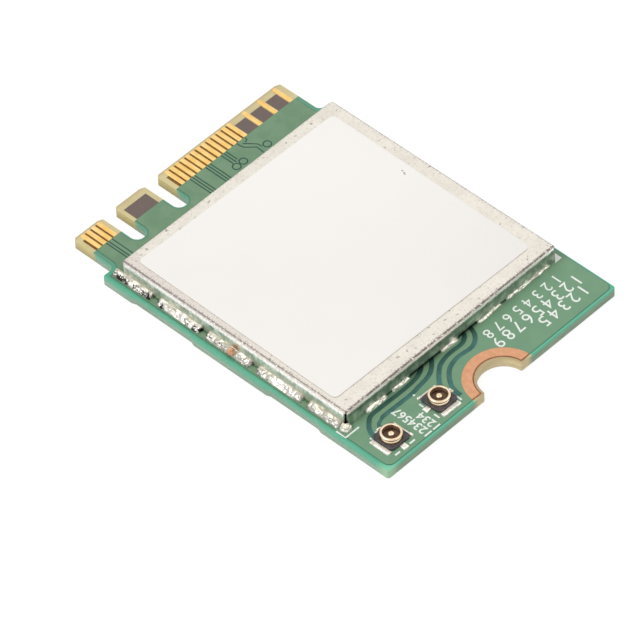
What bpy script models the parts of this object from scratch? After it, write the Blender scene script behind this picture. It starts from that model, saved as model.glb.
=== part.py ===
"""Plug-in laptop wireless card: keyed circuit board, soldered shield can, two coaxial connectors.

The card lies flat. +X runs along the contact edge towards the highest contact number, +Y points
out of the contact edge, +Z is up on the shield side. The underside lands rest on Z = 0.
"""

import math

import bmesh
import bpy
from mathutils import Matrix, Vector

MM = 0.001

# Play between touching pieces that pass through or beside each other.
CLEARANCE = 0.02
# How far a cutter runs past what it cuts, and how deep plating is rooted in the laminate.
CUT_MARGIN = 0.2
PLATING_ROOT = 0.12
CORNER_STEPS = 5
SLOT_STEPS = 12
NOTCH_STEPS = 24
TURN_STEPS = 32

# Edge contacts. Odd numbers are on the shield side, even numbers on the underside.
CONTACT_PITCH = 0.25
MIDDLE_CONTACT = 38
LAST_CONTACT = 75
CONTACT_WIDTH = 0.35
CONTACT_START = 2.0
CONTACT_END = 0.25
CONTACT_TAPER = 0.09
TOP_CONTACTS = (1, 3, 5, 7, *range(33, 58, 2), 63, 69, LAST_CONTACT)
UNDER_CONTACTS = (2, 4, 6, 16, 18, 20, 22, *range(32, LAST_CONTACT, 2))
SLOT_CONTACTS = (11.5, 27.5)

# Board outline. Its width follows from the contacts.
CARD_LENGTH = 30.0
LAMINATE = 0.74
COPPER = 0.03
CONTACT_MARGIN = 0.5
SHOULDER_STEP = 1.075
TONGUE_LENGTH = 4.0
ROOT_RADIUS = 0.45
TIP_CHAMFER = 0.3
REAR_CORNER_RADIUS = 0.4
SHOULDER_CORNER_RADIUS = 0.15
BEVEL_LENGTH = 0.25
BEVEL_DROP = 0.15
SLOT_WIDTH = 1.2
SLOT_DEPTH = 3.5
NOTCH_DIAMETER = 3.5
NOTCH_TIP_RADIUS = 0.3
LAND_DIAMETER = 5.5
LAND_MARGIN = 0.1
LAND_SETBACK = 0.25
SCAR_DEPTH = 0.12
SCAR_RUN = 0.35
SCARS = ((-8.6, -4.35), (2.95, 8.05))

# Shield can, folded from one sheet. The margins run from the board's edges and shoulders.
CAN_MARGIN_LEFT = 0.9
CAN_MARGIN_RIGHT = 0.8
CAN_MARGIN_REAR = 4.6
CAN_MARGIN_SHOULDER = 0.9
CAN_HEADROOM = 0.25
CAN_SHEET = 0.15
CAN_BEND = 0.16
BEND_STEPS = 4
CORNER_OPENING = 0.03
CORNER_DROP = 0.12
FOOT_NOTCH_HEIGHT = 0.18
TUNNEL_HEIGHT = 0.3
TUNNEL_ROUND = 0.14
TUNNELS = ((-4.15, -1.1), (0.55, 2.45))

# Label on the can, inset from its outer faces and stuck on a little askew, in degrees.
LABEL_INSET_LEFT = 0.62
LABEL_INSET_RIGHT = 1.12
LABEL_INSET_FRONT = 1.29
LABEL_INSET_BACK = 0.98
LABEL_RADIUS = 0.4
LABEL_TURN = -0.7
LABEL_THICKNESS = 0.05

# Solder beads along the foot of the can. Each wall's beads part at the foot gaps and tunnels,
# which are all placed from the can's centre.
BEAD_GAP = 0.66
SIDE_GAPS = (-6.71, -2.12, 2.48, 7.01)
FRONT_GAPS = (-6.05, 4.98)
BACK_GAPS = (-4.6, -0.05, 4.5)
BEAD_STEP = 0.3
BEAD_SWELL = 0.14
BEAD_RISE = 0.2
BEAD_END_SWELL = 0.72
BEAD_END_RISE = 0.5
BEAD_ARC_STEPS = 4
BEAD_LEAST_STEPS = 4
SWELL_TURN = 2.3
RISE_TURN = 1.7
BEAD_PHASE = 1.9
BEAD_HEIGHT = 0.42
FRONT_BEAD_HEIGHT = 0.3
BEAD_REACH_LEFT = 0.36
BEAD_REACH_RIGHT = 0.38
BEAD_REACH_FRONT = 0.22
BEAD_REACH_BACK = 0.5
SIDE_OVERRUN = 0.55
FRONT_INSET_LEFT = 1.95
FRONT_INSET_RIGHT = 0.75
BACK_INSET = 0.8
TUNNEL_MARGIN = 0.1
BALL_RADIUS = 0.42
BALL_HEIGHT = 0.5
BALL_STEPS = 6

# Coaxial connectors, sized outwards from the shell's bore. The first is placed from the left edge,
# the second from the rim of the screw land, and each has its quarter turns from the first one's.
JACK_FROM_LEFT = 2.28
JACK_FROM_LAND = 1.45
JACKS_FROM_REAR = (1.87, 1.82)
JACK_TURNS = (0, -1)
SHELL_BORE = 0.6
SHELL_WALL = 0.07
SHELL_FLARE = 0.12
SHELL_BASE_FLARE = 0.09
SHELL_BASE_RISE = 0.05
SHELL_WAIST_RISE = 0.22
SHELL_LIP_ROUND = 0.07
SHELL_MOUTH = 0.04
SHELL_RISE = 0.48
FLARE_STEPS = 5
POCKET_GAP = 0.03
HOUSING_WALL = 0.13
HOUSING_RIM = 0.08
HOUSING_WEB = 0.05
HOUSING_CHAMFER = 0.2
FOOT_WIDTH = 0.27
FOOT_LENGTH = 1.64
FOOT_SHIFT = -0.1
FOOT_THICKNESS = 0.12
PAD_LENGTH = 0.44
LEAD_WIDTH = 0.4
LEAD_THICKNESS = 0.07
STRAP_START = 0.02
STRAP_RISER = 0.08
PIN_RADIUS = 0.19
PIN_HEIGHT = 0.5
PIN_ROUND = 0.1

# Parts under the can: name, X from the can's centre, what Y is measured from, Y, size in X,
# size in Y, height, material key.
CHIPS = (
    ("radio_chip", -1.2, "middle", 1.7, 9.0, 9.0, 0.85, "black_resin"),
    ("amplifier_1", -3.4, "front", 4.2, 3.0, 3.0, 0.75, "black_resin"),
    ("amplifier_2", 2.4, "front", 4.2, 3.0, 3.0, 0.75, "black_resin"),
    ("flash_memory", -7.0, "middle", 4.6, 2.0, 3.0, 0.6, "black_resin"),
    ("voltage_regulator", 6.6, "middle", 2.9, 2.0, 2.0, 0.75, "black_resin"),
    ("crystal", 6.6, "middle", -1.6, 2.5, 2.0, 0.55, "plated_steel"),
    ("power_inductor", 6.6, "back", -3.5, 2.5, 2.0, 1.0, "ferrite"),
    ("band_filter_1", -2.6, "front", 1.6, 1.6, 0.8, 0.6, "ceramic"),
    ("band_filter_2", 1.6, "front", 1.6, 1.6, 0.8, 0.6, "ceramic"),
)
TALLEST_CHIP = max(chip[6] for chip in CHIPS)
CHIP_CHAMFER = 0.05
PASSIVE_LENGTH = 1.0
PASSIVE_WIDTH = 0.5
PASSIVE_END = 0.25
CAPACITOR_HEIGHT = 0.5
CAPACITORS = (
    (-7.4, "middle", 0.8), (-7.4, "middle", -0.4), (-7.4, "middle", -1.6), (4.6, "middle", 0.8),
    (-4.4, "back", -1.6), (-2.8, "back", -1.6), (-1.2, "back", -1.6), (4.6, "back", -1.4),
)
RESISTORS = (
    (-6.6, "front", 4.9), (-6.6, "front", 3.7), (5.6, "front", 4.9), (5.6, "front", 3.7),
)
RESISTOR_HEIGHT = 0.35

HALF_TONGUE = (LAST_CONTACT - MIDDLE_CONTACT) * CONTACT_PITCH + CONTACT_WIDTH / 2 + CONTACT_MARGIN
HALF_WIDTH = HALF_TONGUE + SHOULDER_STEP
EDGE_Y = CARD_LENGTH / 2
REAR_Y = -CARD_LENGTH / 2
SHOULDER_Y = EDGE_Y - TONGUE_LENGTH
UNDER_Z = COPPER
BOARD_Z = COPPER + LAMINATE
CAN_LEFT = -HALF_WIDTH + CAN_MARGIN_LEFT
CAN_RIGHT = HALF_WIDTH - CAN_MARGIN_RIGHT
CAN_FRONT = REAR_Y + CAN_MARGIN_REAR
CAN_BACK = SHOULDER_Y - CAN_MARGIN_SHOULDER
CAN_TOP = BOARD_Z + TALLEST_CHIP + CAN_HEADROOM + CAN_SHEET
CAN_X = (CAN_LEFT + CAN_RIGHT) / 2
CAN_Y = (CAN_FRONT + CAN_BACK) / 2
CAN_PLACES = {"front": CAN_FRONT, "middle": CAN_Y, "back": CAN_BACK}
SHELL_WAIST = SHELL_BORE + SHELL_WALL
SHELL_LIP = SHELL_WAIST + SHELL_FLARE
SHELL_BASE = SHELL_WAIST + SHELL_BASE_FLARE
STRAP_INNER = SHELL_BORE + STRAP_START
STRAP_OUTER = STRAP_INNER + STRAP_RISER
POCKET_RADIUS = SHELL_BASE + POCKET_GAP
POCKET_FLOOR = LEAD_THICKNESS + CLEARANCE + HOUSING_WEB
SHELL_TOP = POCKET_FLOOR + SHELL_RISE
HOUSING_HALF = POCKET_RADIUS + HOUSING_WALL
HOUSING_HEIGHT = POCKET_FLOOR + HOUSING_RIM
FOOT_INNER = HOUSING_HALF + CLEARANCE
FOOT_OUTER = FOOT_INNER + FOOT_WIDTH
PAD_OUTER = FOOT_INNER + PAD_LENGTH


def clear_scene():
    for obj in list(bpy.data.objects):
        bpy.data.objects.remove(obj, do_unlink=True)


def material(name, colour, metallic, roughness):
    made = bpy.data.materials.new(name)
    made.use_nodes = True
    shader = made.node_tree.nodes["Principled BSDF"]
    shader.inputs["Base Color"].default_value = (*colour, 1.0)
    shader.inputs["Metallic"].default_value = metallic
    shader.inputs["Roughness"].default_value = roughness
    made.diffuse_color = (*colour, 1.0)
    return made


def mesh_object(name, points, faces, materials, place=(0.0, 0.0, 0.0), turns=0, slots=None):
    """One mesh object from points in millimetres. slots holds a material index for each face."""
    mesh = bpy.data.meshes.new(name)
    mesh.from_pydata([Vector(point) * MM for point in points], [], faces)
    for made in materials:
        mesh.materials.append(made)
    if slots:
        mesh.polygons.foreach_set("material_index", slots)
    bm = bmesh.new()
    bm.from_mesh(mesh)
    bmesh.ops.recalc_face_normals(bm, faces=bm.faces)
    bm.to_mesh(mesh)
    bm.free()
    mesh.update()
    obj = bpy.data.objects.new(name, mesh)
    obj.location = Vector(place) * MM
    obj.rotation_euler = (0.0, 0.0, turns * math.pi / 2)
    bpy.context.scene.collection.objects.link(obj)
    return obj


def as_helper(obj):
    obj.hide_render = True
    obj.display_type = "WIRE"
    return obj


def combine(obj, other, operation):
    """Adds an exact Boolean with a hidden helper."""
    modifier = obj.modifiers.new(other.name, "BOOLEAN")
    modifier.operation = operation
    modifier.solver = "EXACT"
    modifier.object = as_helper(other)
    modifier.show_render = modifier.show_viewport
    return modifier


def shade_smooth_by_angle(obj, degrees=35.0):
    limit = math.radians(degrees)
    mesh = obj.data
    mesh.polygons.foreach_set("use_smooth", [True] * len(mesh.polygons))
    bm = bmesh.new()
    bm.from_mesh(mesh)
    for edge in bm.edges:
        edge.smooth = len(edge.link_faces) == 2 and edge.calc_face_angle(0.0) < limit
    bm.to_mesh(mesh)
    bm.free()


def prism_parts(outlines, low, high):
    """Points and faces of one prism for each outline, all between the same two heights."""
    points = []
    faces = []
    for outline in outlines:
        start = len(points)
        count = len(outline)
        points += [(x, y, low) for x, y in outline]
        points += [(x, y, high) for x, y in outline]
        faces.append([start + i for i in reversed(range(count))])
        faces.append([start + count + i for i in range(count)])
        for i in range(count):
            j = (i + 1) % count
            faces.append([start + i, start + j, start + count + j, start + count + i])
    return points, faces


def prism(name, outlines, low, high, materials, **options):
    points, faces = prism_parts(outlines, low, high)
    return mesh_object(name, points, faces, materials, **options)


def join_parts(*parts):
    points = []
    faces = []
    for more_points, more_faces in parts:
        start = len(points)
        points += more_points
        faces += [[start + i for i in face] for face in more_faces]
    return points, faces


def rectangle(x0, x1, y0, y1):
    return [(x0, y0), (x1, y0), (x1, y1), (x0, y1)]


def rounded_rectangle(x0, x1, y0, y1, radius, steps=6):
    corners = (
        (x1 - radius, y0 + radius, -90),
        (x1 - radius, y1 - radius, 0),
        (x0 + radius, y1 - radius, 90),
        (x0 + radius, y0 + radius, 180),
    )
    outline = []
    for x, y, start in corners:
        outline += arc(x, y, radius, start, start + 90, steps)
    return outline


def arc(x, y, radius, start, end, steps):
    """Points from one angle to another in degrees, both ends included."""
    outline = []
    for i in range(steps + 1):
        angle = math.radians(start + (end - start) * i / steps)
        outline.append((x + radius * math.cos(angle), y + radius * math.sin(angle)))
    return outline


def loft(name, rings, materials, **options):
    """A closed solid through rings of points that all have the same count."""
    points = [point for ring in rings for point in ring]
    count = len(rings[0])
    faces = [list(reversed(range(count)))]
    for level in range(len(rings) - 1):
        for i in range(count):
            j = (i + 1) % count
            a = level * count
            b = a + count
            faces.append([a + i, a + j, b + j, b + i])
    last = (len(rings) - 1) * count
    faces.append([last + i for i in range(count)])
    return mesh_object(name, points, faces, materials, **options)


def turned(name, profile, materials, **options):
    """A solid of revolution about Z from a closed profile of (radius, height) points."""
    points = []
    faces = []
    count = len(profile)
    for step in range(TURN_STEPS):
        angle = 2 * math.pi * step / TURN_STEPS
        for radius, height in profile:
            points.append((radius * math.cos(angle), radius * math.sin(angle), height))
    for step in range(TURN_STEPS):
        a = step * count
        b = (step + 1) % TURN_STEPS * count
        for i in range(count):
            j = (i + 1) % count
            faces.append([a + i, b + i, b + j, a + j])
    return mesh_object(name, points, faces, materials, **options)


def disc_stack(name, profile, materials, **options):
    """A round solid on Z from (radius, height) points, flat at both ends."""
    rings = []
    for radius, height in profile:
        rings.append([(x, y, height) for x, y in arc(0, 0, radius, 0, 360, TURN_STEPS)[:-1]])
    return loft(name, rings, materials, **options)


def contact_x(number):
    return (number - MIDDLE_CONTACT) * CONTACT_PITCH


def slot_outline(x):
    """The sides and round end of one key slot, met from right to left on the way round the board."""
    radius = SLOT_WIDTH / 2
    centre_y = EDGE_Y - SLOT_DEPTH + radius
    right = tongue_tip(x + radius, 1)
    left = tongue_tip(x - radius, -1)
    return right + arc(x, centre_y, radius, 0, -180, SLOT_STEPS) + left


def tongue_tip(x, side):
    """The small chamfer where a side of the tongue meets the contact edge."""
    inner = (x, EDGE_Y - TIP_CHAMFER)
    outer = (x + side * TIP_CHAMFER, EDGE_Y)
    return [outer, inner] if side > 0 else [inner, outer]


def notch_outline():
    """The half round screw notch from left to right, its two tips rounded off."""
    radius = NOTCH_DIAMETER / 2
    tip = NOTCH_TIP_RADIUS
    reach = math.sqrt((radius + tip) ** 2 - tip**2)
    lean = math.degrees(math.asin(tip / (radius + tip)))
    left_tip = arc(-reach, REAR_Y + tip, tip, -90, -lean, CORNER_STEPS)
    right_tip = arc(reach, REAR_Y + tip, tip, 180 + lean, 270, CORNER_STEPS)
    return left_tip + arc(0, REAR_Y, radius, 180 - lean, lean, NOTCH_STEPS)[1:-1] + right_tip


def board_outline():
    """Counter-clockwise from the rear right corner."""
    rear = REAR_CORNER_RADIUS
    shoulder = SHOULDER_CORNER_RADIUS
    outline = arc(HALF_WIDTH - rear, REAR_Y + rear, rear, -90, 0, CORNER_STEPS)
    outline += arc(
        HALF_WIDTH - shoulder, SHOULDER_Y - shoulder, shoulder, 0, 90, CORNER_STEPS
    )
    root_x = HALF_TONGUE + ROOT_RADIUS
    root_y = SHOULDER_Y + ROOT_RADIUS
    outline += arc(root_x, root_y, ROOT_RADIUS, 270, 180, CORNER_STEPS)
    outline += tongue_tip(HALF_TONGUE, -1)
    for number in reversed(SLOT_CONTACTS):
        outline += slot_outline(contact_x(number))
    outline += tongue_tip(-HALF_TONGUE, 1)
    outline += arc(-root_x, root_y, ROOT_RADIUS, 0, -90, CORNER_STEPS)
    outline += arc(
        shoulder - HALF_WIDTH, SHOULDER_Y - shoulder, shoulder, 90, 180, CORNER_STEPS
    )
    for low, high in reversed(SCARS):
        outline.append((-HALF_WIDTH, high + SCAR_RUN))
        outline.append((-HALF_WIDTH + SCAR_DEPTH, high))
        outline.append((-HALF_WIDTH + SCAR_DEPTH, low))
        outline.append((-HALF_WIDTH, low - SCAR_RUN))
    outline += arc(rear - HALF_WIDTH, REAR_Y + rear, rear, 180, 270, CORNER_STEPS)
    return outline + notch_outline()


def contact_outline(number):
    x = contact_x(number)
    half = CONTACT_WIDTH / 2
    low = EDGE_Y - CONTACT_START
    high = EDGE_Y - CONTACT_END
    return [
        (x - half, low),
        (x + half, low),
        (x + half, high - CONTACT_TAPER),
        (x + half - CONTACT_TAPER, high),
        (x - half + CONTACT_TAPER, high),
        (x - half, high - CONTACT_TAPER),
    ]


def land_outline():
    """The half ring of copper around the screw notch."""
    outer = LAND_DIAMETER / 2
    inner = NOTCH_DIAMETER / 2 + LAND_MARGIN
    first = math.degrees(math.asin(LAND_SETBACK / outer))
    second = math.degrees(math.asin(LAND_SETBACK / inner))
    outline = arc(0, REAR_Y, outer, first, 180 - first, NOTCH_STEPS)
    outline += arc(0, REAR_Y, inner, 180 - second, second, NOTCH_STEPS)
    return outline


def edge_wedge(face_z, away):
    """The prism that cuts the contact edge's bevel on one side of the board."""
    slope = BEVEL_DROP / BEVEL_LENGTH
    lift = away * CUT_MARGIN * slope
    outside = face_z + away * 2 * CUT_MARGIN
    reach = HALF_WIDTH
    section = (
        (EDGE_Y - BEVEL_LENGTH - CUT_MARGIN, face_z + lift),
        (EDGE_Y + CUT_MARGIN, face_z - away * BEVEL_DROP - lift),
        (EDGE_Y + CUT_MARGIN, outside),
        (EDGE_Y - BEVEL_LENGTH - CUT_MARGIN, outside),
    )
    points = [(-reach, y, z) for y, z in section] + [(reach, y, z) for y, z in section]
    faces = [[3, 2, 1, 0], [4, 5, 6, 7]]
    for i in range(4):
        j = (i + 1) % 4
        faces.append([i, j, 4 + j, 4 + i])
    return points, faces


def build_board(mats):
    """The laminate, with its edge contacts and screw lands plated on."""
    slots = [mats["solder_mask"], mats["gold"]]
    board = prism("circuit_board", [board_outline()], UNDER_Z, BOARD_Z, slots)
    wedges = join_parts(edge_wedge(BOARD_Z, 1), edge_wedge(UNDER_Z, -1))
    combine(board, mesh_object("edge_bevels", *wedges, slots[:1]), "DIFFERENCE")
    top = [contact_outline(n) for n in TOP_CONTACTS] + [land_outline()]
    under = [contact_outline(n) for n in UNDER_CONTACTS] + [land_outline()]
    plated = join_parts(
        prism_parts(top, BOARD_Z - PLATING_ROOT, BOARD_Z + COPPER),
        prism_parts(under, 0.0, UNDER_Z + PLATING_ROOT),
    )
    plating = mesh_object("plating", *plated, slots, slots=[1] * len(plated[1]))
    combine(board, plating, "UNION")
    return board


def tunnel_outline(low, high):
    """One opening in the front wall, as (x, height) with its upper corners rounded."""
    top = BOARD_Z + TUNNEL_HEIGHT
    r = TUNNEL_ROUND
    floor = BOARD_Z - CUT_MARGIN
    return (
        [(low, floor), (high, floor)]
        + arc(high - r, top - r, r, 0, 90, CORNER_STEPS)
        + arc(low + r, top - r, r, 90, 180, CORNER_STEPS)
    )


def upright_prism(outline, y0, y1):
    """A prism along Y from an outline in X and Z."""
    count = len(outline)
    points = [(x, y0, z) for x, z in outline] + [(x, y1, z) for x, z in outline]
    faces = [list(range(count)), [count + i for i in reversed(range(count))]]
    for i in range(count):
        j = (i + 1) % count
        faces.append([i, count + i, count + j, j])
    return points, faces


def box_parts(x0, x1, y0, y1, z0, z1):
    return prism_parts([rectangle(x0, x1, y0, y1)], z0, z1)


def foot_gaps(centres, origin):
    """The breaks between beads, as (start, end) along a wall. Centres are from the origin."""
    places = [origin + centre for centre in centres]
    return [(place - BEAD_GAP / 2, place + BEAD_GAP / 2) for place in places]


def tunnels():
    return [(CAN_X + low, CAN_X + high) for low, high in TUNNELS]


def runs_between(start, end, breaks):
    """What is left of a wall's length once its breaks are taken out."""
    runs = []
    for low, high in sorted(breaks):
        runs.append((start, low))
        start = high
    return runs + [(start, end)]


def build_can(mats):
    """The folded shield: rounded top edges, open corners, tunnels for the two antenna lines."""
    rings = [can_ring(0.0, BOARD_Z)]
    for step in range(BEND_STEPS + 1):
        angle = math.pi / 2 * step / BEND_STEPS
        inset = CAN_BEND * (1 - math.cos(angle))
        rings.append(can_ring(inset, CAN_TOP - CAN_BEND + CAN_BEND * math.sin(angle)))
    can = loft("shield_can", rings, [mats["plated_steel"]])
    shade_smooth_by_angle(can)
    inside = box_parts(
        CAN_LEFT + CAN_SHEET, CAN_RIGHT - CAN_SHEET,
        CAN_FRONT + CAN_SHEET, CAN_BACK - CAN_SHEET,
        BOARD_Z - CUT_MARGIN, CAN_TOP - CAN_SHEET,
    )
    combine(can, mesh_object("can_inside", *inside, [mats["plated_steel"]]), "DIFFERENCE")
    openings = join_parts(*corner_openings(), *wall_openings())
    combine(can, mesh_object("can_openings", *openings, [mats["plated_steel"]]), "DIFFERENCE")
    return can


def corner_openings():
    """The slits where two walls meet without a seam, from the board to just under the fold."""
    half = CAN_SHEET + CORNER_OPENING
    cuts = []
    for x in (CAN_LEFT, CAN_RIGHT):
        for y in (CAN_FRONT, CAN_BACK):
            cuts.append(
                box_parts(
                    x - half, x + half, y - half, y + half,
                    BOARD_Z - CUT_MARGIN, CAN_TOP - CORNER_DROP,
                )
            )
    return cuts


def wall_openings():
    """The notches between the solder feet, and the two tunnels in the front wall."""
    deep = CAN_SHEET + CUT_MARGIN
    low = BOARD_Z - CUT_MARGIN
    high = BOARD_Z + FOOT_NOTCH_HEIGHT
    cuts = []
    for x in (CAN_LEFT, CAN_RIGHT):
        for start, end in foot_gaps(SIDE_GAPS, CAN_Y):
            cuts.append(box_parts(x - deep, x + deep, start, end, low, high))
    for y, gaps in ((CAN_FRONT, FRONT_GAPS), (CAN_BACK, BACK_GAPS)):
        for start, end in foot_gaps(gaps, CAN_X):
            cuts.append(box_parts(start, end, y - deep, y + deep, low, high))
    for start, end in tunnels():
        outline = tunnel_outline(start, end)
        cuts.append(upright_prism(outline, CAN_FRONT - deep, CAN_FRONT + deep))
    return cuts


def can_ring(inset, z):
    x0 = CAN_LEFT + inset
    x1 = CAN_RIGHT - inset
    y0 = CAN_FRONT + inset
    y1 = CAN_BACK - inset
    return [(x0, y0, z), (x1, y0, z), (x1, y1, z), (x0, y1, z)]


def build_label(mats):
    outline = rounded_rectangle(
        CAN_LEFT + LABEL_INSET_LEFT, CAN_RIGHT - LABEL_INSET_RIGHT,
        CAN_FRONT + LABEL_INSET_FRONT, CAN_BACK - LABEL_INSET_BACK, LABEL_RADIUS,
    )
    outline = turned_outline(outline, CAN_X, CAN_Y, LABEL_TURN)
    return prism("blank_label", [outline], CAN_TOP, CAN_TOP + LABEL_THICKNESS, [mats["label_film"]])


def turned_outline(outline, x, y, degrees):
    """An outline turned about one point."""
    turn = Matrix.Rotation(math.radians(degrees), 2)
    centre = Vector((x, y))
    return [tuple(turn @ (Vector(point) - centre) + centre) for point in outline]


def bead_section(reach, height):
    """Distance out from the wall and height above the board, round one bead."""
    section = [(0.0, 0.0)]
    for step in range(BEAD_ARC_STEPS + 1):
        angle = math.pi / 2 * step / BEAD_ARC_STEPS
        section.append((reach * math.cos(angle), height * math.sin(angle)))
    return section


def build_bead(name, wall, outward, start, end, reach, height, phase, mats):
    """One lumpy solder bead against a wall. outward is the unit step away from the can."""
    count = max(BEAD_LEAST_STEPS, round((end - start) / BEAD_STEP))
    rings = []
    for i in range(count + 1):
        along = start + (end - start) * i / count
        swell = 1 - BEAD_SWELL * (1 - math.sin(SWELL_TURN * i + phase))
        rise = 1 - BEAD_RISE * (1 - math.sin(RISE_TURN * i + phase))
        if i in (0, count):
            swell *= BEAD_END_SWELL
            rise *= BEAD_END_RISE
        ring = []
        for out, up in bead_section(reach * swell, height * rise):
            x = wall + outward[0] * out if outward[0] else along
            y = wall + outward[1] * out if outward[1] else along
            ring.append((x, y, BOARD_Z + up))
        rings.append(ring)
    bead = loft(name, rings, [mats["solder"]])
    shade_smooth_by_angle(bead, 60.0)
    return bead


def build_beads(mats):
    side_gaps = foot_gaps(SIDE_GAPS, CAN_Y)
    side_runs = runs_between(
        CAN_FRONT + BALL_RADIUS + CLEARANCE, CAN_BACK + SIDE_OVERRUN, side_gaps
    )
    front_breaks = foot_gaps(FRONT_GAPS, CAN_X)
    front_breaks += [(low - TUNNEL_MARGIN, high + TUNNEL_MARGIN) for low, high in tunnels()]
    front_runs = runs_between(
        CAN_LEFT + FRONT_INSET_LEFT, CAN_RIGHT - FRONT_INSET_RIGHT, front_breaks
    )
    back_runs = runs_between(
        CAN_LEFT + BACK_INSET, CAN_RIGHT - BACK_INSET, foot_gaps(BACK_GAPS, CAN_X)
    )
    walls = (
        ("solder_left", CAN_LEFT, (-1, 0), side_runs, BEAD_REACH_LEFT, BEAD_HEIGHT),
        ("solder_right", CAN_RIGHT, (1, 0), side_runs, BEAD_REACH_RIGHT, BEAD_HEIGHT),
        ("solder_front", CAN_FRONT, (0, -1), front_runs, BEAD_REACH_FRONT, FRONT_BEAD_HEIGHT),
        ("solder_back", CAN_BACK, (0, 1), back_runs, BEAD_REACH_BACK, BEAD_HEIGHT),
    )
    for side, (name, wall, outward, runs, reach, height) in enumerate(walls):
        for number, (start, end) in enumerate(runs, 1):
            phase = BEAD_PHASE * (number + side)
            build_bead(
                f"{name}_{number}", wall, outward, start, end, reach, height, phase, mats
            )


def build_ball(mats):
    """The solder that closes the can's front left corner, round all but the can's own quarter."""
    rings = []
    for step in range(BALL_STEPS):
        angle = math.pi / 2 * step / BALL_STEPS
        z = BOARD_Z + BALL_HEIGHT * math.sin(angle)
        outline = [(0.0, 0.0)] + arc(0, 0, BALL_RADIUS * math.cos(angle), 90, 360, NOTCH_STEPS)
        rings.append([(CAN_LEFT + x, CAN_FRONT + y, z) for x, y in outline])
    ball = loft("solder_corner", rings, [mats["solder"]])
    shade_smooth_by_angle(ball)
    return ball


def chamfered_square(half, chamfer):
    return [
        (half - chamfer, -half), (half, -half + chamfer),
        (half, half - chamfer), (half - chamfer, half),
        (-half + chamfer, half), (-half, half - chamfer),
        (-half, -half + chamfer), (-half + chamfer, -half),
    ]


def turned_box(direction, near, far, half_width, low, high):
    """A box that runs outwards from near to far, in one of the four directions round a jack."""
    side_x, side_y = direction
    ends = sorted((near * (side_x + side_y), far * (side_x + side_y)))
    if side_x:
        return box_parts(*ends, -half_width, half_width, low, high)
    return box_parts(-half_width, half_width, *ends, low, high)


def foot_parts(direction):
    """A solder foot beside the housing: long on the two sides, a small pad at the end."""
    if direction[0]:
        ends = sorted((direction[0] * FOOT_INNER, direction[0] * FOOT_OUTER))
        half = FOOT_LENGTH / 2
        return box_parts(*ends, FOOT_SHIFT - half, FOOT_SHIFT + half, 0.0, FOOT_THICKNESS)
    return turned_box(direction, FOOT_INNER, PAD_OUTER, LEAD_WIDTH / 2, 0.0, FOOT_THICKNESS)


def strap_parts(direction, room=0.0):
    """The strap from under the shell to its foot, or with room, the slot and channel it lies in."""
    half = LEAD_WIDTH / 2 + room
    below = CUT_MARGIN if room else 0.0
    far = HOUSING_HALF + CUT_MARGIN if room else FOOT_INNER + FOOT_WIDTH / 2
    riser_top = POCKET_FLOOR + (CUT_MARGIN if room else STRAP_START)
    section = [
        (STRAP_INNER - room, -below), (far, -below), (far, LEAD_THICKNESS + room),
        (STRAP_OUTER + room, LEAD_THICKNESS + room), (STRAP_OUTER + room, riser_top),
        (STRAP_INNER - room, riser_top),
    ]
    side_x, side_y = direction
    points = []
    for across in (-half, half):
        for out, z in section:
            points.append((side_x * out + side_y * across, side_y * out + side_x * across, z))
    count = len(section)
    faces = [list(range(count)), [count + i for i in reversed(range(count))]]
    for i in range(count):
        j = (i + 1) % count
        faces.append([i, count + i, count + j, j])
    return points, faces


GROUND_SIDES = ((1, 0), (-1, 0), (0, -1))


def build_jack_housing(name, placed, mats):
    """The moulded base: a round pocket for the shell, channels below for the lead and straps."""
    outline = chamfered_square(HOUSING_HALF, HOUSING_CHAMFER)
    housing = prism(f"{name}_housing", [outline], 0.0, HOUSING_HEIGHT, [mats["housing"]], **placed)
    over = HOUSING_HEIGHT + CUT_MARGIN
    round_cuts = (
        ("pocket", POCKET_RADIUS, POCKET_FLOOR),
        ("bore", PIN_RADIUS + CLEARANCE, -CUT_MARGIN),
    )
    for part, radius, low in round_cuts:
        cutter = disc_stack(
            f"{name}_{part}", [(radius, low), (radius, over)], [mats["housing"]], **placed
        )
        combine(housing, cutter, "DIFFERENCE")
    half = LEAD_WIDTH / 2 + CLEARANCE
    channel = box_parts(
        -half, half, -half, HOUSING_HALF + CUT_MARGIN, -CUT_MARGIN, LEAD_THICKNESS + CLEARANCE
    )
    slots = [strap_parts(side, CLEARANCE) for side in GROUND_SIDES]
    cutter = mesh_object(
        f"{name}_channels", *join_parts(channel, *slots), [mats["housing"]], **placed
    )
    combine(housing, cutter, "DIFFERENCE")


def flare(start_radius, start_z, end_radius, end_z):
    """Profile points that ease from one radius to another."""
    profile = []
    for step in range(1, FLARE_STEPS):
        t = step / FLARE_STEPS
        ease = t * t * (3 - 2 * t)
        radius = start_radius + (end_radius - start_radius) * ease
        profile.append((radius, start_z + (end_z - start_z) * t))
    return profile


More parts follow.
